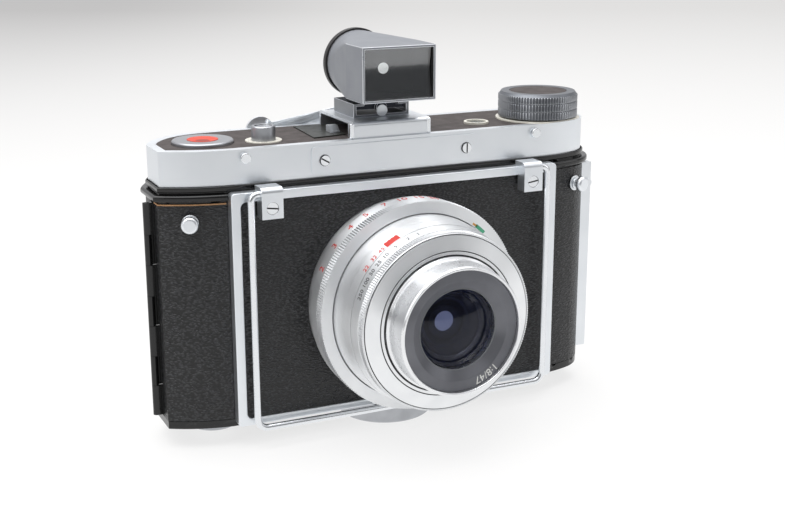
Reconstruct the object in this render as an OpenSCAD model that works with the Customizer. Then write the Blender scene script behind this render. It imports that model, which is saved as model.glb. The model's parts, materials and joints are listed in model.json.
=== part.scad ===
// Wide-angle roll-film camera: fixed lens, folding wire finder and slip-on optical finder.
// Millimetres. X runs along the camera, Y from front to back, Z up.
// The origin is the centre of the tripod disc's underside, on which the camera stands.

/* [Outline] */
// Distance of the end rounds' centres from the middle
end_x = 57.2; // [56.8:0.1:57.8]
// Radius of the end rounds of the top cover
end_r = 24.9; // [24.6:0.1:25.2]
// How far the end rounds' centres stand behind the flat front
end_set = 12.8; // [12.6:0.1:13.2]
// Distance of the flat ends from the middle
end_flat = 80.7; // [80.5:0.1:80.9]
// Half length of the flat stretch of the front
flat_x = 55; // [54:0.5:56]
// Radius of the bowed stretches beside the flat
bow_r = 50; // [46:0.5:56]
// Radius of the rounded right-hand front corner
corner_r = 15; // [13.5:0.5:15]
// Distance from the tripod axis forward to the flat front
front_y = 10.9; // [10.6:0.1:12]

/* [Heights] */
// Height of the tripod disc under the body
foot_h = 7; // [6:0.5:9]
// Thickness of the bottom cover
base_t = 1.2; // [1:0.1:2]
// Thickness of the casting's floor above the bottom cover
floor_t = 1.4; // [1.2:0.1:2]
// Thickness of the casting's top deck
roof_t = 3.7; // [3.5:0.1:4.5]
// Height of the top cover above the deck
cover_h = 13.1; // [12.5:0.1:16]

/* [Walls] */
// Thickness of the casting's and the door's wall
wall_t = 1.5; // [1.2:0.1:1.8]
// Thickness of the leather
hide_t = 0.5; // [0.4:0.1:0.7]
// Thickness of the top cover's sheet
cover_t = 1.2; // [0.8:0.1:1.5]
// Depth of the recess that takes the top inlay
inlay_d = 0.6; // [0.4:0.1:0.8]
// Width of the bare border round the top inlay
border_w = 3; // [2:0.1:3.5]
// Gap left round moving covers
seam = 0.2; // [0.15:0.05:0.4]
// Running clearance of shafts in their bores
run_gap = 0.05; // [0.02:0.01:0.09]

/* [Front frame] */
// Outer width of the chrome front frame
frame_w = 121.2; // [120:0.2:123]
// Outer height of the front frame
frame_h = 80; // [79:0.2:84]
// Width of the frame's upright bars
frame_bar = 3.2; // [2.8:0.1:4]
// Height of the frame's lower bar
frame_low = 2.4; // [2:0.1:3]
// How far the frame stands in front of the flat front
frame_d = 4.8; // [4.4:0.1:6]
// How far the leather inside the frame lies behind its face
panel_sink = 0.8; // [0.4:0.1:1.2]

/* [Lens] */
// How far the lens axis lies below the middle of the frame
lens_drop = 1.43; // [1:0.05:1.6]
// How far the base flange stands in front of the frame
flange_out = 4.6; // [4.2:0.1:5.5]
// Radius of the focusing ring over its teeth
focus_r = 36.5; // [35.5:0.1:36.6]
// Length of the focusing ring
focus_len = 9.9; // [9:0.1:10.2]
// Number of teeth round the focusing ring
focus_teeth = 130; // [60:1:140]
// Radius of the shutter housing
shutter_r = 31.8; // [31:0.1:32]
// Radius of the tube on which the setting rings turn
hub_r = 28; // [26:0.5:28.4]
// Radius of the rear tube that slides in the base
tube_r = 24; // [22:0.5:24.5]
// Inner radius of the lens tubes
bore_r = 14; // [13:0.5:14.5]
// Radius of the speed ring over its teeth
speed_r = 30.2; // [29.5:0.1:30.6]
// Number of teeth round the speed ring
speed_teeth = 110; // [60:1:130]
// Radius of the front rim of the lens barrel
rim_r = 21; // [20.9:0.1:22]
// Radius of the filter thread
thread_r = 20.25; // [19:0.25:20.25]
// How far the lens barrel stands in front of the frame
lens_out = 44.95; // [44:0.05:47]
// Travel of the lens from infinity to one metre
focus_run = 2.3; // [1.5:0.1:2.4]

/* [Wire finder] */
// Radius of the wire
wire_r = 1.15; // [1:0.05:1.3]
// Half distance between the wire's legs
wire_x = 54.9; // [54.5:0.1:56]
// How far the wire lies in front of the frame
wire_out = 3; // [2.6:0.1:3.4]
// How far the wire's lower bar lies below the frame's lower edge
wire_drop = 0.3; // [0.2:0.1:1]
// Radius of the wire's lower corners
wire_bend = 3.6; // [2.5:0.1:6]
// Width of each hinge bracket
bracket_w = 7.3; // [6.5:0.1:8]
// Distance of the brackets from the middle
bracket_x = 48.3; // [47.8:0.1:48.6]

/* [Film transport] */
// Distance of the spool axes from the middle
spool_x = 63.6; // [63:0.1:64.2]
// Position of the spool axes from front to back
spool_y = 3.6; // [3.4:0.1:4]
// Radius of a spool's flanges
spool_r = 12.7; // [12:0.1:12.8]
// Length of a spool
spool_l = 65.4; // [62:0.2:66]
// Radius of a film guide roller
roller_r = 2.5; // [2:0.1:2.7]
// Distance of the film plane behind the tripod axis
film_y = 17.3; // [16.5:0.1:17.6]
// Width of the film gate
gate_w = 92; // [84:1:93]
// Height of the film gate
gate_h = 56; // [52:1:58]

/* [Controls] */
// Radius of the winding knob over its teeth
knob_r = 14.4; // [13:0.1:15]
// Height of the winding knob
knob_h = 7.7; // [6.5:0.1:10]
// Number of teeth round the winding knob
knob_teeth = 90; // [50:1:100]
// Radius of the winding shaft
shaft_r = 3.5; // [3:0.1:4]
// Distance of the release button from the middle
button_x = 43.2; // [42.5:0.1:44]
// Radius of the release button
button_r = 4.05; // [3.5:0.05:4.4]
// Travel of the release button
button_run = 2; // [1:0.1:3]
// Radius of the film dial at the left end
dial_r = 10.2; // [9.5:0.1:10.8]
// Distance of the frame counter from the middle
counter_x = 37.2; // [36.5:0.1:38]
// Radius of the counter window's ring
counter_r = 4.45; // [4:0.05:5]

/* [Shoe and finder] */
// Width of the shoe's platform
platform_w = 28.5; // [27:0.5:30]
// Height of the platform above the top cover
platform_h = 5.5; // [5.2:0.1:7]
// Sheet thickness of the platform and the shoe
sheet_t = 1; // [0.8:0.1:1.2]
// Inner width of the accessory shoe
shoe_w = 18.6; // [18.4:0.1:19]
// Width of the front window of the finder
window_w = 26.7; // [24:0.5:30]
// Height of the front window of the finder
window_h = 18.5; // [16:0.5:20]
// Length of the finder from window to eyepiece
finder_l = 38; // [34:0.5:42]
// Radius of the finder's eyepiece ring
eye_r = 12.1; // [11:0.1:13]

/* [Door] */
// Radius of the hinge's knuckles
knuckle_r = 1.2; // [1.1:0.05:1.3]
// Wall left bare above and below the hinge
hinge_end = 0.75; // [0.75:0.25:6]
// Travel of the latch bar
latch_run = 3; // [2:0.1:3.3]

/* [Hidden] */

big = 200;
fine = 96;

// Levels, from the disc's underside up
z_base = foot_h;
z_floor = z_base + base_t;
z_wall = z_floor + floor_t;
frame_z = z_base + 1;
frame_top = frame_z + frame_h;
z_roof = frame_top + 0.3;
z_deck = z_roof - roof_t;
hide_h = z_deck - z_wall;
z_top = z_roof + cover_h;
z_inlay = z_top - inlay_d;
lens_z = frame_z + frame_h / 2 - lens_drop;

// Places from front to back
flat_y = -front_y;
end_y = flat_y + end_set;
back_y = end_y + end_r;
frame_y = flat_y - frame_d;
split_y = end_y + 0.4;

// How far each layer stands outside the top cover's outline
wall_out = 0.5;
wall_in = wall_out - wall_t;
hide_out = wall_out + hide_t;
rim_out = 0.9;
bead_out = 0.9;
roll_out = 2.6;
neck_out = 0.2;

// Heights of the trim beads
roll_z = z_deck + 0.7;
roll_h = 2.2;
bead_t = 0.2;
bead_h = 1.6;

// The rounded corner's circle lies inside the bow and the end round and touches both
bow_c = [flat_x, flat_y + bow_r];
end_c = [end_x, end_y];
span = norm(bow_c - end_c);
toward = (bow_c - end_c) / span;
along = (pow(end_r - corner_r, 2) - pow(bow_r - corner_r, 2) + span * span) / (2 * span);
aside = sqrt(pow(end_r - corner_r, 2) - along * along);
corner_c = end_c + along * toward + aside * [toward[1], -toward[0]];
from_bow = (corner_c - bow_c) / norm(corner_c - bow_c);
from_end = (corner_c - end_c) / norm(corner_c - end_c);
outward = (from_bow + from_end) / norm(from_bow + from_end);
chord = (from_end - from_bow) / norm(from_end - from_bow);
corner_lap = 0.05;

// Outline of the top cover, grown by d: rounds cut flat at the ends, a bowed front and one rounded corner
module plan(d = 0) {
    touch = corner_c + (corner_r + d) * from_bow;
    intersection() {
        square([2 * (end_flat + d), big], center = true);
        union() {
            for (s = [-1, 1]) translate([s * end_x, end_y]) circle(end_r + d, $fn = fine);
            translate([-end_x, end_y - end_r - d]) square([2 * end_x, 2 * (end_r + d)]);
        }
        union() {
            for (s = [-1, 1]) translate([s * flat_x, bow_c[1]]) circle(bow_r + d, $fn = 2 * fine);
            translate([-flat_x, flat_y - d]) square([2 * flat_x, bow_r]);
        }
        union() {
            translate(corner_c + corner_lap * outward) circle(corner_r + d, $fn = fine);
            polygon([touch - big * chord, touch + big * chord, touch + big * (chord - 2 * outward),
                touch - big * (chord + 2 * outward)]);
        }
    }
}

module slab(z0, z1, d = 0) {
    translate([0, 0, z0]) linear_extrude(z1 - z0) plan(d);
}

module band(z0, z1, outside, inside) {
    translate([0, 0, z0]) linear_extrude(z1 - z0) difference() {
        plan(outside);
        plan(inside);
    }
}

// A drawing in X and Z, pulled from y0 to y1
module along_y(y0, y1) {
    translate([0, y0, 0]) rotate([-90, 0, 0]) linear_extrude(y1 - y0) mirror([0, 1]) children();
}

// A drawing in Y and Z, pulled from x0 to x1
module along_x(x0, x1) {
    translate([x0, 0, 0]) rotate([90, 0, 90]) linear_extrude(x1 - x0) children();
}

module box(x, y, z) {
    translate([x[0], y[0], z[0]]) cube([x[1] - x[0], y[1] - y[0], z[1] - z[0]]);
}

module rod(at, r, z0, z1) {
    translate([at[0], at[1], z0]) cylinder(r = r, h = z1 - z0, $fn = fine);
}

module round_rect(w, h, r) {
    for (x = [-1, 1], z = [-1, 1]) translate([x * (w / 2 - r), z * (h / 2 - r)]) circle(r, $fn = 48);
    square([w - 2 * r, h], center = true);
    square([w, h - 2 * r], center = true);
}

// A profile in radius and distance in front of the frame, turned round the lens axis
module turned() {
    translate([0, frame_y, lens_z]) rotate([90, 0, 0]) rotate_extrude($fn = fine) children();
}

// Half the section of a disc with one domed face: its rim lies from y0 to y1
module dome_shape(r, y0, y1, crown) {
    ball = (r * r + crown * crown) / (2 * crown);
    intersection() {
        translate([0, y0]) square([r, y1 - y0 + crown]);
        union() {
            translate([0, y0]) square([r, y1 - y0]);
            translate([0, y1 + crown - ball]) circle(ball, $fn = 4 * fine);
        }
    }
}

// A star outline with n teeth of the given depth
module toothed(r, depth, n) {
    polygon([for (i = [0 : 2 * n - 1]) let (a = i * 180 / n, q = r - (i % 2) * depth) [q * cos(a), q * sin(a)]]);
}

module film_side(s) {
    translate([s * spool_x, spool_y, 0]) children();
}

// Body

spool_z = lens_z - spool_l / 2;
part_x = gate_w / 2 + 0.6;
part_t = 1.2;
roller_x = part_x + part_t + roller_r + 0.5;
roller_y = film_y - roller_r;
pivot_r = 1;
pivot_l = 0.9;
stem_r = 3;
lens_hole_r = tube_r + 1;
gate_t = 2;
wall_y = flat_y - wall_out;

// Keeps the rims clear of the front frame
module behind_frame() {
    box([-1, 1] * (frame_w / 2 + 0.05), [-big, wall_y], [0, big]);
}

module body_casting() color("#1d1d1f") difference() {
    union() {
        difference() {
            slab(z_floor, z_wall, rim_out);
            behind_frame();
        }
        difference() {
            band(z_wall, z_deck, wall_out, wall_in);
            box([-big, big], [split_y - seam, big], [0, big]);
        }
        slab(z_deck, z_roof, neck_out);
        slab(z_roof - bead_t, z_roof, bead_out);
        band(z_roof, z_roof + bead_h, bead_out, run_gap);
        difference() {
            slab(roll_z, roll_z + roll_h, roll_out);
            behind_frame();
        }
        intersection() {
            slab(z_wall, z_deck, wall_in + wall_t / 2);
            union() {
                for (s = [-1, 1]) translate([s * (part_x + part_t / 2), 0, 0])
                    box([-1, 1] * part_t / 2, [-big, film_y], [z_wall, z_deck]);
                along_y(film_y - gate_t, film_y) difference() {
                    translate([-part_x, z_wall]) square([2 * part_x, hide_h]);
                    translate([0, lens_z]) square([gate_w, gate_h], center = true);
                }
            }
        }
    }
    along_y(flat_y - 5, 0) translate([0, lens_z]) circle(lens_hole_r, $fn = fine);
    for (s = [-1, 1]) {
        film_side(s) rod([0, 0], stem_r + run_gap, 0, z_wall + 1);
        film_side(s) rod([0, 0], spool_r + 0.35, z_wall, z_deck);
        rod([s * roller_x, roller_y], pivot_r + run_gap, z_wall - pivot_l - 0.2, z_deck + pivot_l + 0.2);
        stud_place(s) cylinder(r = stud_neck_r, h = 3 * stud_neck_l, center = true, $fn = 48);
    }
    film_side(1) rod([0, 0], shaft_r + run_gap, z_deck - 1, big);
    rod(counter_axis, counter_pin_r + run_gap, z_roof - 2, big);
    for (z = latch_screw_z) latch_screw(z, screw_r);
}

module bottom_cover() color("#232325") difference() {
    slab(z_base, z_floor, rim_out);
    behind_frame();
    for (s = [-1, 1]) film_side(s) rod([0, 0], stem_r + run_gap, 0, big);
}

module front_panel() color("#1d1d1f") along_y(frame_y + panel_sink + hide_t, wall_y) difference() {
    frame_opening();
    translate([0, lens_z]) circle(lens_hole_r, $fn = fine);
}

bar_top = 3.1;
inner_w = frame_w - 2 * frame_bar;
inner_h = frame_h - frame_low - bar_top;

module frame_opening() {
    translate([0, frame_z + frame_low + inner_h / 2]) round_rect(inner_w, inner_h, 2);
}

module front_frame() color("#d9dcdf") along_y(frame_y, wall_y) difference() {
    translate([0, frame_z + frame_h / 2]) round_rect(frame_w, frame_h, 1.5);
    frame_opening();
}

hide_z = z_wall + seam;
hide_top = z_deck - seam;

module leather_panels() color("#26262a") {
    difference() {
        band(hide_z, hide_top, hide_out, wall_out);
        box([-big, big], [split_y - seam, big], [0, big]);
        box([-1, 1] * (frame_w / 2 + 0.1), [-big, 0], [0, big]);
        box([-big, 0], [hinge_leaf_y[0] - 0.1, big], [0, big]);
        box([0, big], [latch_y[0] - 0.2, big], [0, big]);
        for (s = [-1, 1]) stud_place(s) cylinder(r = stud_neck_r, h = 3 * stud_neck_l, center = true, $fn = 48);
    }
    along_y(frame_y + panel_sink, frame_y + panel_sink + hide_t) difference() {
        frame_opening();
        translate([0, lens_z]) circle(flange_r + 0.2, $fn = fine);
    }
}

box_t = 0.8;
mouth = 2 * tube_r + 4;

module light_box() color("#141414") {
    y0 = flat_y - wall_in + 0.1;
    y1 = film_y - gate_t;
    w1 = gate_w;
    h1 = gate_h;
    translate([0, y0, lens_z]) rotate([-90, 0, 0]) difference() {
        linear_extrude(y1 - y0, scale = [w1 / mouth, h1 / mouth], slices = 1) square(mouth, center = true);
        translate([0, 0, -0.01]) linear_extrude(y1 - y0 + 0.02, slices = 1,
            scale = [(w1 - 2 * box_t) / (mouth - 2 * box_t), (h1 - 2 * box_t) / (mouth - 2 * box_t)])
            square(mouth - 2 * box_t, center = true);
    }
}

module film_roller(s) color("#b9bcc0") {
    rod([s * roller_x, roller_y], pivot_r, z_wall - pivot_l, z_deck + pivot_l);
    rod([s * roller_x, roller_y], roller_r, z_wall + 0.3, z_deck - 0.3);
}

module film_roller_left() film_roller(-1);

module film_roller_right() film_roller(1);

stud_knob_r = 7.9;
stud_knob_h = 3.4;
stud_pull = spool_z + 4.6 - z_wall;

// Pull-out stud that holds the lower end of a spool
module spool_stud(s) color("#c9cccf") film_side(s) {
    difference() {
        rod([0, 0], stud_knob_r, z_base - 0.1 - stud_knob_h, z_base - 0.1);
        translate([0, 0, z_base - 0.1 - stud_knob_h]) cube([2 * stud_knob_r + 1, 1.2, 1.6], center = true);
    }
    rod([0, 0], stem_r, z_base - 0.2, spool_z + 4);
}

module spool_stud_left() spool_stud(-1);

module spool_stud_right() spool_stud(1);

foot_r = 16.8;
screw_hole_r = 3.175;

module tripod_disc() color("#9a9c9f") difference() {
    union() {
        rod([0, 0], foot_r, 0.6, z_base);
        translate([0, 0, 0]) cylinder(r1 = foot_r - 0.6, r2 = foot_r, h = 0.6, $fn = fine);
    }
    rod([0, 0], screw_hole_r, -1, z_base + 1);
}

core_r = 5.8;
spool_flange_t = 1.1;
socket_r = stem_r + 0.2;

module take_up_spool() color("#2b2b2d") film_side(1) difference() {
    union() {
        rod([0, 0], core_r, spool_z, spool_z + spool_l);
        for (z = [spool_z, spool_z + spool_l - spool_flange_t]) rod([0, 0], spool_r, z, z + spool_flange_t);
    }
    rod([0, 0], socket_r, spool_z - 1, spool_z + 5);
    translate([0, 0, spool_z + spool_l]) cube([key_w + 0.04, key_t + 0.04, 10], center = true);
    box([-big, big], [-0.4, 0.4], [spool_z + 12, spool_z + spool_l - 12]);
}

// Door

film_gap = 0.6;
press_t = 1;
press_y = film_y + film_gap;
door_in = back_y + wall_in;

module behind() {
    box([-big, big], [split_y + seam, big], [0, big]);
}

module back_door() color("#1d1d1f") {
    intersection() {
        band(z_wall + seam, z_deck - seam, wall_out, wall_in);
        behind();
    }
    // Catch that the latch bar holds
    intersection() {
        box([0, big], [latch_y[0] + 1.2, split_y + 5], [lens_z - 5, lens_z + 5]);
        band(0, big, wall_in - 0.1, wall_in - 1.1);
    }
    intersection() {
        box([0, big], [split_y + 2, split_y + 5], [lens_z - 5, lens_z + 5]);
        band(0, big, wall_in + 0.1, wall_in - 1.1);
    }
}

module door_leather() color("#26262a") difference() {
    intersection() {
        band(hide_z, hide_top, hide_out, wall_out);
        behind();
    }
    box([-big, 0], [0, hinge_leaf_y[1] + 0.1], [0, big]);
}

// The hinge's leaves lie on the flat end wall, between the two leathers
leaf_out = hide_out + 0.1;
hinge_x = -(end_flat + leaf_out + knuckle_r + 0.75);
hinge_c = [hinge_x, split_y];
pin_r = 0.6;
leaf_w = 2;
hinge_leaf_y = [split_y - leaf_w, split_y + leaf_w];
knuckle_gap = 0.1;
hinge_l = z_deck - z_wall - 2 * hinge_end;
hinge_z = z_wall + hinge_end;
// Seven knuckles, four of them on the body
knuckle_l = hinge_l / 7;
pair_l = 2 * knuckle_l;

module knuckle(z, l, side) {
    difference() {
        union() {
            rod(hinge_c, knuckle_r, z, z + l);
            box([hinge_x, -end_flat - hide_out], side > 0 ? [split_y + seam, split_y + knuckle_r] :
                [split_y - knuckle_r, split_y - seam], [z, z + l]);
        }
        if (side > 0) rod(hinge_c, pin_r + run_gap, z - 1, z + l + 1);
    }
}

module leaf(side) {
    intersection() {
        band(hinge_z, hinge_z + hinge_l, leaf_out, wall_out);
        box([-big, 0], side > 0 ? [split_y + seam, hinge_leaf_y[1]] : [hinge_leaf_y[0], split_y - seam],
            [0, big]);
    }
}

module hinge_body_leaf() color("#2a2a2c") {
    leaf(-1);
    for (i = [0 : 3]) knuckle(hinge_z + i * pair_l, knuckle_l, -1);
    rod(hinge_c, pin_r, hinge_z, hinge_z + hinge_l);
}

module hinge_door_leaf() color("#2a2a2c") {
    leaf(1);
    for (i = [0 : 2])
        knuckle(hinge_z + i * pair_l + knuckle_l + knuckle_gap, knuckle_l - 2 * knuckle_gap, 1);
}

press_w = gate_w + 8;
press_h = gate_h + 6;

module pressure_plate() color("#3a3b3d") along_y(press_y, press_y + press_t)
    translate([0, lens_z]) round_rect(press_w, press_h, 3);

bow_half = 28;
spring_t = 0.4;

module pressure_springs() color("#a9acb0") {
    rise = door_in - press_y - press_t - spring_t;
    bend = (bow_half * bow_half + rise * rise) / (2 * rise);
    sweep = asin(bow_half / bend);
    for (s = [-1, 1]) translate([0, press_y + press_t + bend, lens_z + s * press_h / 4 - 5])
        rotate([0, 0, 270 - sweep]) rotate_extrude(angle = 2 * sweep, $fn = 4 * fine)
            translate([bend - spring_t, 0]) square([spring_t, 10]);
}

latch_w = 3.5;
latch_y = [split_y - 6.2, split_y - 6.2 + latch_w];
latch_z = [z_wall + latch_run + 0.4, z_deck - seam];
latch_x = end_flat + 2.15;
latch_screw_z = [z_wall + hide_h / 5, z_wall + 4 * hide_h / 5];
screw_r = 0.9;
latch_head_r = 1.3;
latch_sink = 0.7;

// A round along X from the depth given to just inside the bar's outer face
module latch_screw(z, r, depth = 5, end = -0.1) {
    translate([latch_x - depth, (latch_y[0] + latch_y[1]) / 2, z]) rotate([0, 90, 0])
        cylinder(r = r, h = depth + end, $fn = 48);
}

// The room a sliding bar leaves round a fixed screw
module latch_slot(z, r, depth) {
    for (u = [0, latch_run]) latch_screw(z + u, r, depth, 1);
    box([latch_x - depth, latch_x + 1], [-r, r] + [1, 1] * (latch_y[0] + latch_y[1]) / 2, [z, z + latch_run]);
}

module latch_bar() color("#d9dcdf") difference() {
    union() {
        box([end_x, latch_x], latch_y, latch_z);
        translate([latch_x - 1.9, latch_y[0], latch_z[1] - 7.5]) rotate([90, 0, 0])
            cylinder(r = 1.5, h = 1.4, $fn = 48);
    }
    slab(0, big, wall_out + 0.1);
    for (z = latch_screw_z) {
        latch_slot(z, screw_r + 0.15, 8);
        latch_slot(z, latch_head_r + 0.1, latch_sink);
    }
}

// Top cover and what sits in it

knob_at = [spool_x, spool_y];
button_at = [-button_x, flat_y + 12.2];
dial_at = [-spool_x + 0.9, spool_y + 2.7];
counter_at = [counter_x, flat_y + 12.6];
counter_axis = [counter_x - 4.4, flat_y + 12.6];
counter_pin_r = 1;
window_r = counter_r - 0.9;
ring_top = z_top + 0.4;
knob_ring_r = knob_r + 0.9;
collar_r = button_r + 2.1;
dial_stem_r = 2;
slide_front = flat_y + 8.5;
slide_back = back_y - 4.9;
slot_x = -16.8;
slot_y = [slide_front + 5, slide_front + 13];
slot_w = 1.6;

// The slide's plate narrows towards the front and leaves room for the shoe's platform
module slide_plate_shape(grow) {
    difference() {
        polygon([[slot_x - 9.8 - grow, slide_front - grow], [slot_x + 2.4 + grow, slide_front + 1.7 - grow],
            [slot_x + 5.5 + grow, slide_back + grow], [slot_x - 8.1 - grow, slide_back + grow]]);
        translate([platform_x[0] - 0.1 + grow, platform_y[1] - sheet_t - 0.1 + grow]) square(big);
    }
}

module top_cover() color("#cfd3d8") difference() {
    slab(z_roof, z_top);
    slab(z_roof - 1, z_top - 1.4, -cover_t);
    slab(z_inlay, z_top + 1, -border_w);
    translate([0, 0, z_inlay]) linear_extrude(big) knob_ring_shape();
    rod(knob_at, shaft_r + 0.3, 0, big);
    rod(counter_at, window_r, 0, big);
    rod(button_at, button_r + 0.1, 0, big);
    rod(dial_at, dial_stem_r + run_gap, 0, big);
    box([-1, 1] * slot_w / 2 + [slot_x, slot_x], slot_y, [z_top - 3, z_top + 1]);
    for (s = [-1, 1]) {
        pin_hole(s * name_screw_x, name_z, screw_r);
        pin_hole(s * catch_x, catch_z, screw_r);
    }
}

module pin_hole(x, z, r) {
    along_y(flat_y - 1, flat_y + cover_t + 1) translate([x, z]) circle(r, $fn = 32);
}

module top_inlay() color("#2c2b2d") difference() {
    slab(z_inlay, z_top - 0.1, -border_w - 0.05);
    rod(knob_at, knob_ring_r + 0.05, 0, big);
    rod(counter_at, counter_r + 0.05, 0, big);
    rod(button_at, collar_r + 0.05, 0, big);
    rod(dial_at, dial_r + 0.15, 0, big);
    linear_extrude(big) slide_plate_shape(0.05);
}

name_w = 62.2;
name_h = 9.5;
name_t = 0.5;
name_z = z_roof + 7.15;
name_screw_x = 26.4;
catch_x = 54;
catch_z = z_roof + 10.2;
catch_l = 1.6;

module name_plate() color("#e2e4e6") along_y(flat_y - name_t, flat_y) difference() {
    translate([0, name_z]) round_rect(name_w, name_h, 1.6);
    for (s = [-1, 1]) translate([s * name_screw_x, name_z]) circle(screw_r, $fn = 32);
}

head_t = 0.7;

// A slotted screw whose head's underside lies at y
module front_screw(x, z, y, head_r, l, turn = 0) {
    difference() {
        along_y(y - head_t, y) translate([x, z]) circle(head_r, $fn = 48);
        translate([x, y - head_t, z]) rotate([0, turn, 0]) cube([2 * head_r + 1, head_t, 0.5], center = true);
    }
    along_y(y, y + l) translate([x, z]) circle(screw_r, $fn = 32);
}

module case_screws() color("#dcdfe2") {
    for (s = [-1, 1]) {
        front_screw(s * name_screw_x, name_z, flat_y - name_t, 1.7, name_t + cover_t, 30 * s + 60);
        front_screw(s * bracket_x, bracket_screw_z, frame_y - bracket_d + bracket_sink, bracket_head_r,
            bracket_d - bracket_sink, -8 * s);
    }
    for (z = latch_screw_z) {
        latch_screw(z, screw_r);
        latch_screw(z, latch_head_r, latch_sink - 0.1);
    }
}

module catch_pins() color("#c3c7cc") for (s = [-1, 1]) {
    along_y(flat_y - catch_l, flat_y) translate([s * catch_x, catch_z]) circle(1.8, $fn = 48);
    along_y(flat_y, flat_y + cover_t) translate([s * catch_x, catch_z]) circle(screw_r, $fn = 32);
}

stud_turn = 19.9;
stud_z = z_deck - 6.2;
stud_neck_r = 1.5;
stud_neck_l = 2.7;
stud_head_r = 2.8;

// Local Z points out of the bowed front
module stud_place(s) {
    translate([s * flat_x, bow_c[1], stud_z]) rotate([0, 0, s * stud_turn])
        translate([0, -bow_r - hide_out - 0.1, 0]) rotate([90, 0, 0]) children();
}

module strap_studs() color("#c9ccd0") for (s = [-1, 1]) stud_place(s) {
    cylinder(r = stud_head_r, h = 0.8, $fn = 48);
    translate([0, 0, -1.8]) cylinder(r = stud_neck_r, h = stud_neck_l + 1.8, $fn = 48);
    translate([0, 0, stud_neck_l]) cylinder(r = stud_head_r, h = 1.6, $fn = 48);
    translate([0, 0, stud_neck_l + 1.6]) cylinder(r1 = stud_head_r, r2 = stud_head_r - 0.6, h = 0.6, $fn = 48);
}

knob_z = ring_top + 0.5;
knob_top = knob_z + knob_h;
tier_gap = 0.25;
knob_rim = 0.5;
tier_h = [2.3, 2.7, knob_h - 5 - 2 * tier_gap - knob_rim];
tier_z = [0, tier_h[0] + tier_gap, tier_h[0] + tier_h[1] + 2 * tier_gap];
tooth_d = 0.45;
knob_inlay_r = 9.7;

module winding_knob() color("#a8abb0") difference() {
    translate([knob_at[0], knob_at[1], 0]) {
        for (i = [0 : 2]) translate([0, 0, knob_z + tier_z[i]]) linear_extrude(tier_h[i])
            toothed(knob_r, tooth_d, knob_teeth);
        rod([0, 0], knob_r - tooth_d - 0.05, knob_z, knob_top - knob_rim);
        translate([0, 0, knob_top - knob_rim])
            cylinder(r1 = knob_r - 0.1, r2 = knob_r - 0.7, h = knob_rim, $fn = fine);
    }
    rod(knob_at, knob_inlay_r + 0.05, knob_top - 0.7, big);
    rod(knob_at, shaft_r - 0.5, 0, knob_top - 1.6);
}

module knob_inlay() color("#3a3836") rod(knob_at, knob_inlay_r, knob_top - 0.7, knob_top - 0.25);

key_w = 5.6;
key_t = 1.2;

module winding_shaft() color("#b5b8bc") {
    spool_top = spool_z + spool_l;
    rod(knob_at, shaft_r, spool_top + 0.3, knob_z);
    rod(knob_at, shaft_r - 0.5, knob_z, knob_top - 1.6);
    translate([knob_at[0], knob_at[1], spool_top - 1.6]) cube([key_w, key_t, 3.9], center = true);
}

module knob_ring_shape() {
    intersection() {
        translate(knob_at) circle(knob_ring_r, $fn = fine);
        plan(-0.3);
    }
}

module top_rings() color("#d6d4cc") {
    difference() {
        translate([0, 0, z_inlay]) linear_extrude(ring_top - z_inlay) knob_ring_shape();
        rod(knob_at, shaft_r + 0.3, 0, big);
    }
    difference() {
        rod(counter_at, counter_r, z_inlay, ring_top + 0.3);
        rod(counter_at, window_r, 0, big);
    }
    difference() {
        rod(button_at, collar_r, z_inlay, ring_top - 0.1);
        rod(button_at, button_r + 0.1, 0, big);
    }
}

module counter_glass() color("#c8d4da") rod(counter_at, window_r, z_inlay, z_top);

counter_disc_z = z_top - 2.4;

module counter_disc() color("#e8e8e4") {
    rod(counter_axis, 7.6, counter_disc_z, counter_disc_z + 0.6);
    rod(counter_axis, 2, counter_disc_z - 2, counter_disc_z);
    rod(counter_axis, counter_pin_r, z_roof - 1.8, counter_disc_z - 2);
}

button_top = z_top + 5.1;

module release_button() color("#b9bdc2") difference() {
    union() {
        rod(button_at, button_r, z_top - 4.5, button_top - 0.4);
        translate([button_at[0], button_at[1], button_top - 0.4])
            cylinder(r1 = button_r, r2 = button_r - 0.4, h = 0.4, $fn = fine);
    }
    rod(button_at, button_r - 1.1, button_top - 0.5, big);
    rod(button_at, 1.2, button_top - 3, big);
}

dial_top = z_top + 1.1;
dial_red_r = 5.2;

module dial_ring() color("#d2d5d8") difference() {
    union() {
        rod(dial_at, dial_r, z_inlay + 0.1, dial_top - 0.4);
        translate([dial_at[0], dial_at[1], dial_top - 0.4])
            cylinder(r1 = dial_r, r2 = dial_r - 0.4, h = 0.4, $fn = fine);
        rod(dial_at, dial_stem_r, z_roof + 4, z_inlay + 0.1);
    }
    rod(dial_at, dial_red_r, dial_top - 0.6, big);
}

module dial_centre() color("#e8452c") {
    translate([dial_at[0], dial_at[1], dial_top - 0.6]) rotate_extrude($fn = fine)
        dome_shape(dial_red_r, 0, 0.4, 0.35);
}

// Shoe, finder and folding sight

platform_x = [-15.2, -15.2 + platform_w];
platform_y = [flat_y + 1.2, back_y - 5.5];
platform_z = z_top + platform_h;
shoe_x = -1.2;
shoe_wall = 1.1;
shoe_out = shoe_w + 2 * shoe_wall;
shoe_y = [platform_y[0] + 8.5, platform_y[1] - 5];
slot_h = 2.9;
lip_t = 0.9;
shoe_top = platform_z + sheet_t + slot_h + lip_t;
lip_open = 12.6;

module platform_profile(grow) {
    r = 1.4;
    translate([platform_y[0] - grow, z_top - 0.1 - 2 * r])
        square([platform_y[1] - platform_y[0] + 2 * grow, platform_h + 0.1 + r + grow]);
    translate([platform_y[0] + r, z_top])
        square([platform_y[1] - platform_y[0] - 2 * r, platform_h + grow]);
    for (y = [platform_y[0] + r, platform_y[1] - r]) translate([y, platform_z - r])
        circle(r + grow, $fn = 48);
}

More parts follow.
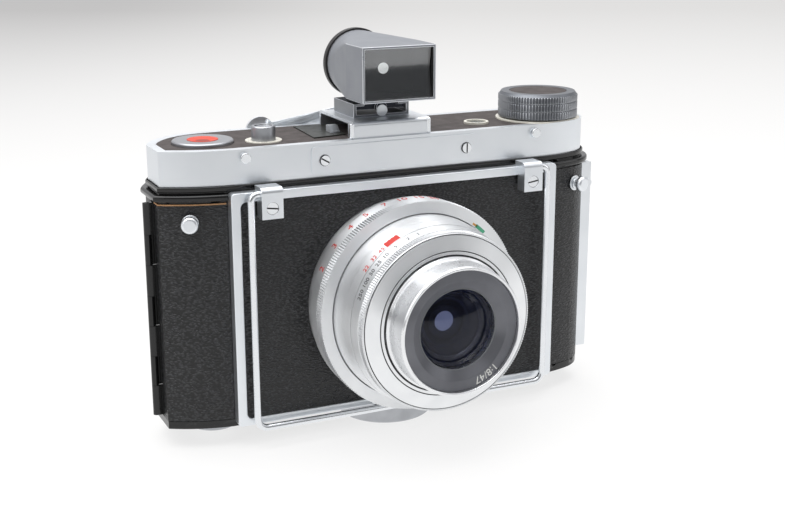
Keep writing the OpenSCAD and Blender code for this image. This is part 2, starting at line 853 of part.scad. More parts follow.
module shoe_platform() color("#d4d7db") difference() {
    union() {
        along_x(platform_x[0], platform_x[1]) difference() {
            platform_profile(0);
            platform_profile(-sheet_t);
        }
        box([platform_x[1] - sheet_t, platform_x[1]], platform_y + [sheet_t / 2, -sheet_t / 2],
            [z_top, platform_z - sheet_t / 2]);
        box([platform_x[0], platform_x[0] + sheet_t], [platform_y[0] + 1.8, platform_y[0] + 5], [z_top, platform_z - sheet_t / 2]);
    }
    box([-big, big], [-big, big], [0, z_top]);
}

module shoe_channel() color("#8d9094") along_y(shoe_y[0], shoe_y[1])
    translate([shoe_x - shoe_out / 2, platform_z]) difference() {
        square([shoe_out, shoe_top - platform_z]);
        translate([shoe_wall, sheet_t]) square([shoe_w, slot_h]);
        translate([(shoe_out - lip_open) / 2, sheet_t]) square([lip_open, big]);
    }

finder_x = -1.05;
finder_y = frame_y;
finder_z = platform_z + 6.9;
window_d = 14;
eye_z = finder_z + window_h / 2 - 0.05;
eye_ring_l = 2.4;
eye_y = finder_y + finder_l;
finder_wall = 1.2;

module finder_shape(grow, y0, y1) {
    hull() {
        translate([finder_x - window_w / 2 - grow, y0, finder_z - grow])
            cube([window_w + 2 * grow, window_d - 2 * abs(grow), window_h + 2 * grow]);
        along_y(y1 - 1, y1) translate([finder_x, eye_z]) circle(eye_r - 0.7 + grow, $fn = 32);
    }
}

glass_sink = 1;

module finder_body() color("#7d8186") difference() {
    finder_shape(0, finder_y, eye_y - eye_ring_l);
    finder_shape(-finder_wall, finder_y + 4, eye_y - eye_ring_l - 3);
    box([finder_x - window_w / 2 + 0.9, finder_x + window_w / 2 - 0.9], [finder_y - 1, finder_y + 5],
        [finder_z + 0.9, finder_z + window_h - 0.9]);
    along_y(eye_y - eye_ring_l - 5, eye_y) translate([finder_x, eye_z]) circle(5, $fn = 48);
}

module finder_glass() color("#3c4650") box([finder_x - window_w / 2 + 0.9, finder_x + window_w / 2 - 0.9],
    [finder_y + glass_sink, finder_y + glass_sink + 1.6], [finder_z + 0.9, finder_z + window_h - 0.9]);

module finder_eyepiece() color("#1a1a1b") along_y(eye_y - eye_ring_l, eye_y) difference() {
    translate([finder_x, eye_z]) circle(eye_r, $fn = fine);
    translate([finder_x, eye_z]) circle(5, $fn = 48);
}

module finder_eye_lens() color("#9fb4c0") along_y(eye_y - eye_ring_l - 1, eye_y - 0.8)
    translate([finder_x, eye_z]) circle(5, $fn = 48);

foot_gap = 0.15;
foot_t = 1.3;
slot_top = platform_z + sheet_t + slot_h;

module finder_foot() color("#6f7276") {
    box([shoe_x - shoe_w / 2 + foot_gap, shoe_x + shoe_w / 2 - foot_gap], shoe_y + [1.2, -0.5],
        [slot_top - foot_gap - foot_t, slot_top - foot_gap]);
    difference() {
        box([shoe_x - lip_open / 2 + foot_gap, shoe_x + lip_open / 2 - foot_gap], shoe_y + [1.2, -0.5],
            [slot_top - foot_gap, finder_z]);
        finder_shape(0, finder_y, eye_y - eye_ring_l);
    }
    along_y(shoe_y[0] - 0.2, shoe_y[0] + 1.2)
        translate([shoe_x, slot_top - 0.8]) circle(2, $fn = 48);
}

sight_at = [-4, z_top + 1.6];
sight_disc = [-35.4, z_top - 1.7];
sight_y = [back_y + seam, back_y + seam + 1];
sight_hub_r = 3.8;
sight_disc_r = 5.3;

module sight_arm() color("#77797c") along_y(sight_y[0], sight_y[1]) difference() {
    union() {
        translate(sight_at) circle(sight_hub_r, $fn = 48);
        translate(sight_disc) circle(sight_disc_r, $fn = 48);
        polygon([sight_at + [0, sight_hub_r], sight_at - [0, sight_hub_r], sight_disc - [0, 2.2],
            sight_disc + [0, 2.2]]);
    }
    translate(sight_at) circle(sight_pin_r + run_gap, $fn = 32);
    translate(sight_disc) circle(1.2, $fn = 32);
}

sight_pin_r = 1.5;

module sight_pivot() color("#b5b8bc") {
    along_y(platform_y[1], sight_y[1] + 0.1) translate(sight_at) circle(sight_pin_r, $fn = 32);
    along_y(sight_y[1] + 0.1, sight_y[1] + 0.8) translate(sight_at) circle(2.4, $fn = 48);
}

module slide_plate() color("#33363a") difference() {
    translate([0, 0, z_inlay]) linear_extrude(inlay_d + 0.3) slide_plate_shape(0);
    box([-1, 1] * slot_w / 2 + [slot_x, slot_x], slot_y, [0, big]);
}

slide_step = 0.55;
slide_y = slot_y[0] + 0.8;

// Ribbed thumb piece: each step is one rib
module release_slide() color("#c9ccd0") {
    base = z_top + 0.4;
    along_x(slot_x - 1.7, slot_x + 1.7) polygon(concat(
        [[slide_y + 3.6, base], [slide_y - 0.6, base]],
        [for (i = [0 : 3], k = [0, 1]) [slide_y - 0.6 + slide_step * (i + 0.3 * k), base + 0.55 * (i + k)]],
        [[slide_y + 3.6, base + 2.2]]));
    box([-1, 1] * (slot_w / 2 - 0.1) + [slot_x, slot_x], [slide_y, slide_y + 3], [z_top - 4, base]);
}

// Folding wire finder

bracket_d = 5;
bracket_z = [frame_top - 8.3, frame_top + 2];
bracket_screw_z = bracket_z[0] + 3.5;
bracket_head_r = 2;
bracket_sink = 1;
hinge_y = frame_y - wire_out;
wire_z = frame_top - 0.2;
wire_bend_top = 2.2;
stub_end = bracket_x + 1.2;

module wire_brackets() color("#dcdfe3") for (s = [-1, 1]) translate([s * bracket_x, 0, 0]) difference() {
    union() {
        along_x(-bracket_w / 2, bracket_w / 2) {
            difference() {
                translate([frame_y - bracket_d, bracket_z[0]])
                    square([bracket_d, bracket_z[1] - bracket_z[0]]);
                translate([frame_y - bracket_d - 1, bracket_z[1] - 1.8]) square([2.8, 2.8]);
            }
            translate([frame_y - bracket_d + 1.8, bracket_z[1] - 1.8]) circle(1.8, $fn = 48);
            translate([frame_y - 0.5, frame_top]) square([2.4, bracket_z[1] - frame_top]);
        }
    }
    rotate([0, 0, s > 0 ? 0 : 180]) translate([stub_end - bracket_x - 0.1, s * hinge_y, wire_z])
        rotate([0, 90, 0]) cylinder(r = wire_r + run_gap, h = 10, $fn = 48);
    along_y(frame_y - bracket_d - 1, frame_y + 1) translate([0, bracket_screw_z]) circle(screw_r, $fn = 32);
    along_y(frame_y - bracket_d - 1, frame_y - bracket_d + bracket_sink) translate([0, bracket_screw_z])
        circle(bracket_head_r + 0.1, $fn = 48);
}

module bend(at, r, turn) {
    translate([at[0], hinge_y, at[1]]) rotate([90, 0, 0]) rotate([0, 0, turn])
        rotate_extrude(angle = 90, $fn = fine) translate([r, 0]) circle(wire_r, $fn = 48);
}

module wire_frame() color("#dfe2e5") {
    low = frame_z - wire_drop;
    side = wire_x - wire_bend;
    for (s = [-1, 1]) {
        rod([s * wire_x, hinge_y], wire_r, low + wire_bend, wire_z - wire_bend_top);
        translate([s > 0 ? stub_end : -wire_x + wire_bend_top, hinge_y, wire_z]) rotate([0, 90, 0])
            cylinder(r = wire_r, h = wire_x - wire_bend_top - stub_end, $fn = fine);
        bend([s * side, low + wire_bend], wire_bend, s > 0 ? 270 : 180);
        bend([s * (wire_x - wire_bend_top), wire_z - wire_bend_top], wire_bend_top, s > 0 ? 0 : 90);
    }
    translate([-side, hinge_y, low]) rotate([0, 90, 0]) cylinder(r = wire_r, h = 2 * side, $fn = fine);
}

// Lens: distances along the axis are taken from the frame's face forward

boss_out = flange_out + 4.9;
boss_r = hub_r;
focus_back = flange_out + 0.1;
focus_front = focus_back + focus_len;
housing_back = boss_out + 1;
housing_front = housing_back + 9.9;
lever_front = housing_front + 0.2 + 1.4;
aperture_back = lever_front + 0.2;
aperture_front = aperture_back + 4.1;
speed_back = aperture_front + 0.2;
speed_front = speed_back + 7.5;
hub_front = speed_front - 0.7;
plate_front = speed_front + 1.1;
plate_r = speed_r - 0.9;
plate_flat_r = 24.2;
flange_r = frame_h / 2 - 5.5;
barrel_r = rim_r + 1.6;
tail = 8;

module lens_base() color("#c7cace") turned() difference() {
    union() {
        translate([0, -panel_sink - hide_t]) square([flange_r, flange_out + panel_sink + hide_t]);
        square([boss_r, boss_out]);
    }
    translate([0, -big]) square([tube_r + run_gap, 2 * big]);
}

// A ring of teeth round the lens axis between two distances in front of the frame
module knurl(y0, y1, r, depth, n) {
    translate([0, frame_y - y1, lens_z]) rotate([-90, 0, 0]) linear_extrude(y1 - y0) difference() {
        toothed(r, depth, n);
        circle(r - depth - 0.6, $fn = fine);
    }
}

module focus_ring() color("#d3d6da") {
    r = focus_r - 0.5;
    turned() difference() {
        translate([0, focus_back]) polygon([[0, 0], [r, 0], [r, focus_len - 0.4], [r - 0.4, focus_len],
            [0, focus_len]]);
        translate([0, focus_back - 1]) square([boss_r + run_gap, big]);
        translate([0, boss_out + 0.3]) square([shutter_r + 0.35, big]);
    }
    knurl(focus_front - 2.2, focus_front - 0.5, focus_r, 0.4, focus_teeth);
}

module shutter_housing() color("#c9ccd0") turned() difference() {
    union() {
        translate([0, -tail]) square([tube_r, tail + housing_back]);
        translate([0, housing_back]) square([shutter_r, housing_front - housing_back]);
        translate([0, housing_front]) square([hub_r, hub_front - housing_front]);
    }
    translate([0, -big]) square([bore_r, 2 * big]);
}

module cocking_lever() color("#bfc3c7") {
    y = housing_front + 0.2;
    turned() translate([hub_r + run_gap, y]) square([shutter_r - 0.3 - hub_r, 1.4]);
    translate([0, frame_y, lens_z]) rotate([0, 12, 0])
        box([shutter_r - 1, shutter_r + 2.6], [-y - 1.3, -y - 0.1], [-1.8, 1.8]);
}

module aperture_ring() color("#e6e6e4") {
    r = shutter_r - 0.7;
    turned() translate([0, aperture_back]) difference() {
        polygon([[0, 0], [r, 0], [r - 0.4, aperture_front - aperture_back], [0, aperture_front - aperture_back]]);
        translate([0, -1]) square([hub_r + run_gap, big]);
    }
    translate([0, frame_y, lens_z]) rotate([0, -28, 0])
        box([r - 1, r + 2.4], [-aperture_back - 1.6, -aperture_back - 0.2], [-1.5, 1.5]);
}

module speed_ring() color("#dadcde") {
    smooth = 4.5;
    core = speed_r - 0.4;
    turned() translate([0, speed_back]) difference() {
        polygon([[0, 0], [speed_r + 0.4, 0], [speed_r + 0.05, smooth], [core, smooth],
            [core, speed_front - speed_back - 0.3], [core - 0.3, speed_front - speed_back],
            [0, speed_front - speed_back]]);
        translate([0, -1]) square([hub_r + run_gap, big]);
        translate([0, hub_front - 0.1 - speed_back]) square([plate_r + run_gap, big]);
    }
    knurl(speed_back + smooth, speed_front - 0.4, speed_r, 0.3, speed_teeth);
}

module face_plate() color("#dcdee0") turned() difference() {
    polygon([[0, hub_front], [plate_r, hub_front], [plate_r, plate_front - 0.9], [plate_flat_r, plate_front],
        [0, plate_front]]);
    translate([0, -big]) square([bore_r, 2 * big]);
}

name_ring_back = lens_out - 3;
name_ring_front = lens_out - 1.45;
glass_r = bore_r - 0.5;
cell_gap = 0.02;

module lens_barrel() color("#d8dadd") turned() difference() {
    polygon([[0, plate_front], [barrel_r, plate_front], [barrel_r, plate_front + 0.6],
        [rim_r + 0.7, plate_front + 1.1], [rim_r + 0.4, lens_out - 0.6], [rim_r, lens_out], [0, lens_out]]);
    translate([0, name_ring_front]) square([thread_r, big]);
    translate([0, name_ring_back]) square([thread_r - 0.3, big]);
    translate([0, -big]) square([glass_r, 2 * big]);
}

module lens_ring() color("#151515") turned() difference() {
    translate([0, name_ring_back]) square([thread_r - 0.3, name_ring_front - name_ring_back]);
    polygon([[0, name_ring_back - 1], [glass_r, name_ring_back - 1], [glass_r, name_ring_back + 0.1],
        [glass_r + 2.6, name_ring_front], [glass_r + 2.6, big], [0, big]]);
}

module dome(r, y0, y1, crown) {
    turned() dome_shape(r, y0, y1, crown);
}

module front_lens() color("#2c2f4a") dome(glass_r - cell_gap, name_ring_back - 5, name_ring_back - 3.2, 3);

module rear_lens() color("#3a4358") dome(bore_r - cell_gap, -tail + 0.5, -tail + 5, 1.5);

// Thin blades that share the tube as equal sectors
module blades(y, n, hole) {
    gap = 0.6;
    translate([0, frame_y - y, lens_z]) rotate([90, 0, 0]) for (i = [0 : n - 1]) rotate([0, 0, i * 360 / n])
        linear_extrude(0.3) intersection() {
            difference() {
                circle(bore_r - cell_gap, $fn = fine);
                circle(hole, $fn = fine);
            }
            polygon([[gap, gap / 2], [big, gap / 2], [big * cos(360 / n) + big * sin(360 / n),
                big * sin(360 / n) - big * cos(360 / n)], [big * cos(360 / n) + gap, big * sin(360 / n) - gap],
                [gap * cos(360 / n) + gap * sin(360 / n), gap * sin(360 / n)]]);
        }
}

module shutter_blades() color("#26282b") blades(housing_back + 6, 5, 0.5);

module iris_blades() color("#202225") blades(housing_back + 4, 8, 4);

body_casting();
bottom_cover();
front_panel();
leather_panels();
front_frame();
light_box();
film_roller_left();
film_roller_right();
spool_stud_left();
spool_stud_right();
tripod_disc();
take_up_spool();
back_door();
door_leather();
hinge_body_leaf();
hinge_door_leaf();
pressure_plate();
pressure_springs();
latch_bar();
top_cover();
top_inlay();
name_plate();
case_screws();
catch_pins();
strap_studs();
winding_knob();
knob_inlay();
winding_shaft();
top_rings();
counter_glass();
counter_disc();
release_button();
dial_ring();
dial_centre();
shoe_platform();
shoe_channel();
finder_body();
finder_glass();
finder_eyepiece();
finder_eye_lens();
finder_foot();
sight_arm();
sight_pivot();
slide_plate();
release_slide();
wire_brackets();
wire_frame();
lens_base();
focus_ring();
shutter_housing();
speed_ring();
aperture_ring();
face_plate();
lens_barrel();
lens_ring();
front_lens();
rear_lens();
shutter_blades();
iris_blades();
cocking_lever();
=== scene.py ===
import json
import math

import bmesh
import bpy
from mathutils import Matrix, Vector

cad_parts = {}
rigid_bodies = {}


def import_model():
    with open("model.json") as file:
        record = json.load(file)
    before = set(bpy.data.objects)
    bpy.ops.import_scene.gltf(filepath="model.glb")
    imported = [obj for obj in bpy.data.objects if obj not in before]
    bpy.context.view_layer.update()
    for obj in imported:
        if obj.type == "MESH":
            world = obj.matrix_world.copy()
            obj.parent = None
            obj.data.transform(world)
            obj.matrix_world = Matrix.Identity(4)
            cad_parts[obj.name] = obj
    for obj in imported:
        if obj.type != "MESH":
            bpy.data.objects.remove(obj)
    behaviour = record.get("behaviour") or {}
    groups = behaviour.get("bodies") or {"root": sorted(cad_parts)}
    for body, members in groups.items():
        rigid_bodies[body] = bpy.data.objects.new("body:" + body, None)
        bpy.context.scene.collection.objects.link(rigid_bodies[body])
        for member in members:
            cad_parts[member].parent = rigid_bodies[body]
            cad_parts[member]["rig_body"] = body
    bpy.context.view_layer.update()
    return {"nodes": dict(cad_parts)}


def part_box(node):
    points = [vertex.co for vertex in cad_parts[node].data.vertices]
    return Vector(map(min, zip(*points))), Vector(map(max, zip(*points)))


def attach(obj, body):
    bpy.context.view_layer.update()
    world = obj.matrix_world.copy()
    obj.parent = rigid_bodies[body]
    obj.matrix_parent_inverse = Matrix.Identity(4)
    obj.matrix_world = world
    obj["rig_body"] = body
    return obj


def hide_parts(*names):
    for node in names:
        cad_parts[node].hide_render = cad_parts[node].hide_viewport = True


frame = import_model()
nodes = frame["nodes"]
mm = 0.001
weld = 0.002 * mm  # corners closer than this are one, on new meshes and on the parts' own
partWeld = 0.004 * mm
flatAngle = 0.6  # degrees; a part's faces that meet flatter than this are one face
smoothAngle = 50  # degrees; faces that meet flatter than this shade as one
print("camera model loaded:", len(nodes), "parts")

# Places that the looks share, measured on the parts themselves
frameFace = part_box("front_frame")[0].y
lensAxis = sum(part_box("lens_barrel"), Vector()) / 2
knobAxis = sum(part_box("winding_knob"), Vector()) / 2
dialAxis = sum(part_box("dial_ring"), Vector()) / 2


def linear(hexColour):
    channels = [int(hexColour[i:i + 2], 16) / 255 for i in (1, 3, 5)]
    return [c / 12.92 if c <= 0.04045 else ((c + 0.055) / 1.055) ** 2.4 for c in channels] + [1]


def addNode(tree, kind, inputs=None, **settings):
    node = tree.nodes.new("ShaderNode" + kind)
    for key, value in settings.items():
        setattr(node, key, value)
    for key, value in (inputs or {}).items():
        if isinstance(value, bpy.types.NodeSocket):
            tree.links.new(value, node.inputs[key])
        else:
            node.inputs[key].default_value = value
    return node


def newMaterial(name, **values):
    material = bpy.data.materials.new(name)
    material.use_nodes = True
    tree = material.node_tree
    shader = tree.nodes["Principled BSDF"]
    for key, value in values.items():
        shader.inputs[key.replace("_", " ")].default_value = value
    coords = addNode(tree, "TexCoord").outputs["Object"]
    return material, tree, shader, coords


# Slow patches in colour and gloss, from a noise of the given size in millimetres
def addPatches(tree, shader, coords, colours, size, roughness, spread):
    patches = addNode(tree, "TexNoise", {"Vector": coords, "Scale": 1 / (size * mm), "Detail": 4.0})
    mixed = addNode(tree, "Mix", {0: patches.outputs["Fac"], 6: linear(colours[0]), 7: linear(colours[1])},
                    data_type="RGBA")
    tree.links.new(mixed.outputs[2], shader.inputs["Base Color"])
    gloss = addNode(tree, "MapRange", {"Value": patches.outputs["Fac"], "From Min": 0.3, "From Max": 0.7,
                                       "To Min": roughness - spread, "To Max": roughness + spread})
    tree.links.new(gloss.outputs["Result"], shader.inputs["Roughness"])


# A finish with slow patches and a fine grain in relief. Sizes in millimetres.
def makeFinish(name, colour, patchColour, roughness, spread=0.06, patch=9, grain=0.4, relief=0.004,
               metallic=1.0, specular=0.5):
    material, tree, shader, coords = newMaterial(name, Metallic=metallic, Specular_IOR_Level=specular)
    addPatches(tree, shader, coords, (colour, patchColour), patch, roughness, spread)
    grains = addNode(tree, "TexNoise", {"Vector": coords, "Scale": 1 / (grain * mm), "Detail": 2.0})
    bump = addNode(tree, "Bump", {"Height": grains.outputs["Fac"], "Distance": relief * mm, "Strength": 1.0})
    tree.links.new(bump.outputs["Normal"], shader.inputs["Normal"])
    return material


# Metal turned on a lathe about the lens axis: its light spreads across the fine rings. Sizes in millimetres.
def makeTurned(name, colour, patchColour, roughness, anisotropy=0.8, relief=0.003, spread=0.04, patch=7,
               ring=0.35):
    material, tree, shader, coords = newMaterial(name, Metallic=1.0, Anisotropic=anisotropy,
                                                 Anisotropic_Rotation=0.25)
    addPatches(tree, shader, coords, (colour, patchColour), patch, roughness, spread)
    fromAxis = addNode(tree, "Mapping", {"Vector": coords, "Location": (0, 0, -lensAxis.z)})
    across = addNode(tree, "VectorMath", {0: fromAxis.outputs["Vector"], 1: (0, 1, 0)},
                     operation="CROSS_PRODUCT")
    along = addNode(tree, "VectorMath", {0: across.outputs["Vector"]}, operation="NORMALIZE")
    tree.links.new(along.outputs["Vector"], shader.inputs["Tangent"])
    radius = addNode(tree, "VectorMath", {0: across.outputs["Vector"]}, operation="LENGTH")
    rings = addNode(tree, "TexNoise", {"W": radius.outputs["Value"], "Scale": 1 / (ring * mm), "Detail": 2.0},
                    noise_dimensions="1D")
    bump = addNode(tree, "Bump", {"Height": rings.outputs["Fac"], "Distance": relief * mm, "Strength": 1.0})
    tree.links.new(bump.outputs["Normal"], shader.inputs["Normal"])
    return material


# Leathercloth on the walls: embossed pebbles drawn out along the wall, about 1.2 mm by 0.5 mm, which catch
# small glints on a nearly black sheet. Sizes in millimetres.
def makeLeather():
    leather = {"colour": "#232427", "worn": "#37383c", "creaseShade": "#0a0a0b", "long": 1.25, "high": 0.45,
               "relief": 0.3, "roughness": 0.3, "wander": 2.4, "push": 1.1, "fine": 0.35, "fineShare": 0.3,
               "patch": 14}
    material, tree, shader, coords = newMaterial("embossedLeather", Roughness=leather["roughness"])
    wander = addNode(tree, "TexNoise", {"Vector": coords, "Scale": 1 / (leather["wander"] * mm),
                                        "Detail": 2.0})
    pushed = addNode(tree, "VectorMath", {0: wander.outputs["Color"], "Scale": leather["push"] * mm},
                     operation="SCALE")
    wandering = addNode(tree, "VectorMath", {0: pushed.outputs["Vector"], 1: coords}, operation="ADD")
    drawn = addNode(tree, "VectorMath", {0: wandering.outputs["Vector"],
                                         1: [1 / (leather[k] * mm) for k in ("long", "long", "high")]},
                    operation="MULTIPLY")
    pebbles = addNode(tree, "TexVoronoi", {"Vector": drawn.outputs["Vector"], "Scale": 1.0,
                                           "Randomness": 0.9}, feature="SMOOTH_F1")
    rise = addNode(tree, "MapRange", {"Value": pebbles.outputs["Distance"], "From Min": 0.05,
                                      "From Max": 0.55, "To Min": 1.0, "To Max": 0.0},
                   interpolation_type="SMOOTHSTEP")
    fine = addNode(tree, "TexNoise", {"Vector": coords, "Scale": 1 / (leather["fine"] * mm), "Detail": 3.0})
    height = addNode(tree, "Math", {0: fine.outputs["Fac"], 1: leather["fineShare"],
                                    2: rise.outputs["Result"]}, operation="MULTIPLY_ADD")
    bump = addNode(tree, "Bump", {"Height": height.outputs["Value"], "Distance": leather["relief"] * mm,
                                  "Strength": 1.0})
    tree.links.new(bump.outputs["Normal"], shader.inputs["Normal"])
    patches = addNode(tree, "TexNoise", {"Vector": coords, "Scale": 1 / (leather["patch"] * mm),
                                        "Detail": 5.0})
    shade = addNode(tree, "Mix", {0: patches.outputs["Fac"], 6: linear(leather["colour"]),
                                  7: linear(leather["worn"])}, data_type="RGBA")
    # Painted shade: the creases between the pebbles take a near-black colour
    creased = addNode(tree, "Mix", {0: rise.outputs["Result"], 6: linear(leather["creaseShade"]),
                                    7: shade.outputs[2]}, data_type="RGBA")
    tree.links.new(creased.outputs[2], shader.inputs["Base Color"])
    return material


# Clear glass of the windows; the finder's front element reflects more, as its stack of glass does
def makeClearGlass(name, coat=0.0):
    material, tree, shader, coords = newMaterial(name, Transmission_Weight=1.0, Roughness=0.02, IOR=1.5,
                                                 Coat_Weight=coat, Coat_IOR=1.9, Coat_Roughness=0.12)
    smears = addNode(tree, "TexNoise", {"Vector": coords, "Scale": 1 / (6 * mm), "Detail": 3.0})
    tint = addNode(tree, "Mix", {0: smears.outputs["Fac"], 6: linear("#cfd6dc"), 7: linear("#e2e6ea")},
                   data_type="RGBA")
    tree.links.new(tint.outputs[2], shader.inputs["Base Color"])
    return material


# Coated optical glass: clear with a faint violet cast; the coating cuts its reflections
def makeLensGlass():
    material, tree, shader, coords = newMaterial("coatedLensGlass", Transmission_Weight=1.0, Roughness=0.02,
                                                 IOR=1.3, Specular_IOR_Level=0.08)
    depth = addNode(tree, "TexNoise", {"Vector": coords, "Scale": 1 / (12 * mm), "Detail": 1.0})
    tint = addNode(tree, "Mix", {0: depth.outputs["Fac"], 6: linear("#aab1cb"), 7: linear("#b4bad2")},
                   data_type="RGBA")
    tree.links.new(tint.outputs[2], shader.inputs["Base Color"])
    return material


# A glowing pale patch, painted light for a bright spot seen in an opening, a little uneven
def makeDaylight(name, strength):
    material, tree, shader, coords = newMaterial(name, Roughness=0.6, Emission_Strength=strength)
    haze = addNode(tree, "TexNoise", {"Vector": coords, "Scale": 1 / (2.5 * mm), "Detail": 2.0})
    mixed = addNode(tree, "Mix", {0: haze.outputs["Fac"], 6: linear("#b4b3b0"), 7: linear("#cfcdc8")},
                    data_type="RGBA")
    tree.links.new(mixed.outputs[2], shader.inputs["Emission Color"])
    tree.links.new(mixed.outputs[2], shader.inputs["Base Color"])
    return material


finishes = {
    # Brass, blasted and chromed: soft light grey with a faint blue cast
    "satinChrome": makeFinish("satinChrome", "#f2f5f8", "#ebeff3", 0.38, 0.03, 12, 0.5, 0.002),
    # Polished chrome plate: near mirror
    "brightChrome": makeFinish("brightChrome", "#e4e6e8", "#d9dcdf", 0.1, 0.03, 10, 1.2, 0.001),
    # Chrome worn dull and darker by handling
    "wornChrome": makeFinish("wornChrome", "#bbbdc1", "#a2a4a8", 0.36, 0.06, 5, 0.4, 0.004),
    # Turned steel
    "plainSteel": makeFinish("plainSteel", "#b3b5b8", "#a2a4a7", 0.3, 0.05, 6, 0.5, 0.002),
    # Rolled steel of the shoe's channel, dulled by use
    "shoeSteel": makeFinish("shoeSteel", "#8e9094", "#7e8084", 0.34, 0.05, 5, 0.4, 0.003),
    # Painted shade on the winding knob: a darker, duller steel in the grooves of its teeth and on its top
    "knobShadeSteel": makeFinish("knobShadeSteel", "#84878c", "#75787d", 0.42, 0.05, 5, 0.4, 0.003),
    # Blued spring steel, thin and dark
    "bluedSteel": makeFinish("bluedSteel", "#3a3c42", "#2c2e33", 0.35, 0.05, 5, 0.5, 0.002),
    # Stoved black enamel on cast alloy: deep gloss with a slight ripple
    "blackEnamel": makeFinish("blackEnamel", "#090909", "#0f0f10", 0.12, 0.03, 8, 3, 0.008, 0.0),
    # Matt black paint inside the body
    "mattBlack": makeFinish("mattBlack", "#101010", "#181818", 0.75, 0.08, 6, 0.3, 0.01, 0.0),
    # Black anodised alloy of the lens ring, turned: a dark metal with a soft sheen
    "blackAnodised": makeTurned("blackAnodised", "#7a7b80", "#6f7075", 0.42, relief=0.002),
    # Black lacquer of the finder's eyepiece
    "blackLacquer": makeFinish("blackLacquer", "#1a1819", "#242122", 0.4, 0.05, 5, 0.3, 0.003, 0.0),
    # Bare bright metal where handling wears a lacquered edge, which also paints a highlight along the rounded
    # edges
    "wornHighlightEdge": makeFinish("wornHighlightEdge", "#e8eaee", "#dcdfe3", 0.3, 0.04, 3, 0.5, 0.002),
    # Dull grey of the ring that holds the front glass
    "rimLacquer": makeFinish("rimLacquer", "#74777a", "#66696c", 0.5, 0.04, 3, 0.4, 0.002, 0.0),
    # Raw brown edge of the leathercloth where it was cut
    "cutLeather": makeFinish("cutLeather", "#c8986a", "#8f6b4a", 0.7, 0.05, 3, 0.3, 0.01, 0.0),
    # Moulded black plastic of the spool
    "mouldedPlastic": makeFinish("mouldedPlastic", "#0e0e0e", "#151515", 0.3, 0.05, 8, 0.6, 0.004, 0.0),
    # Grey satin lacquer on the finder's alloy shell
    "greyLacquer": makeFinish("greyLacquer", "#898c91", "#80838a", 0.4, 0.04, 8, 0.35, 0.004, 0.35),
    # Dark vinyl inlay of the top, grey-brown and slightly mottled
    "topVinyl": makeFinish("topVinyl", "#524b49", "#383332", 0.6, 0.06, 4, 0.35, 0.04, 0.0, 0.2),
    # Dark glossy paint of the sliding plate
    "slidePaint": makeFinish("slidePaint", "#3a3e3b", "#2c2a28", 0.35, 0.05, 3, 1.0, 0.01, 0.0, 0.25),
    # Aged white enamel, slightly cream
    "creamEnamel": makeFinish("creamEnamel", "#e3e0d6", "#d5d1c4", 0.3, 0.05, 4, 0.6, 0.004, 0.0),
    # Orange-red enamel of the film dial
    "redEnamel": makeFinish("redEnamel", "#d2452c", "#c43a24", 0.5, 0.05, 4, 0.8, 0.004, 0.0),
    # The same enamel, darker, in the middle of the dish
    "darkRed": makeFinish("darkRed", "#9a2c14", "#842410", 0.5, 0.05, 3, 0.8, 0.004, 0.0),
    # Satin chromed alloy of the lens mount, turned on a lathe
    "turnedAlloy": makeTurned("turnedAlloy", "#f2f3f4", "#e9ebed", 0.42),
    # The face plate, paler and a little smoother
    "turnedPlate": makeTurned("turnedPlate", "#f6f7f8", "#eff1f3", 0.34, relief=0.002),
    # The brighter front barrel
    "turnedBright": makeTurned("turnedBright", "#f4f5f6", "#ecedef", 0.28, 0.7, 0.001),
    "coatedLensGlass": makeLensGlass(),
    "windowGlass": makeClearGlass("windowGlass"),
    "frontElement": makeClearGlass("frontElement", 1.0),
    "embossedLeather": makeLeather(),
    # The blackened inside of the lens with a violet-blue cast from the coated glass
    "innerElement": makeFinish("innerElement", "#171d38", "#1d2442", 0.35, 0.05, 6, 3, 0.001, 0.0, 0.25),
    # Painted light: a glowing pale round deep in the lens, for the pale reflection seen there
    "lensGlow": makeDaylight("lensGlow", 0.8),
    "brightDaylight": makeDaylight("brightDaylight", 1.6),
    # Drawn wire, chromed: bright with a soft sheen
    "drawnWire": makeFinish("drawnWire", "#eceef1", "#e3e6e9", 0.2, 0.03, 10, 2, 0.001),
    # Paint let into engraved figures; the black is also painted shade in the lens's grooves and gaps and
    # round the screws' heads
    "blackFillAndShade": makeFinish("blackFillAndShade", "#1b1b1c", "#242425", 0.5, 0.05, 2, 0.3, 0.003, 0.0),
    "whiteFill": makeFinish("whiteFill", "#d8d8d4", "#c8c8c4", 0.5, 0.05, 2, 0.3, 0.003, 0.0),
    "redFill": makeFinish("redFill", "#cf3226", "#bf2c22", 0.45, 0.05, 2, 0.3, 0.003, 0.0),
    "greenFill": makeFinish("greenFill", "#4fae86", "#459b77", 0.45, 0.05, 2, 0.3, 0.003, 0.0),
    "amberFill": makeFinish("amberFill", "#d29a4a", "#c48c3e", 0.45, 0.05, 2, 0.3, 0.003, 0.0),
}
print("finishes made:", len(finishes))

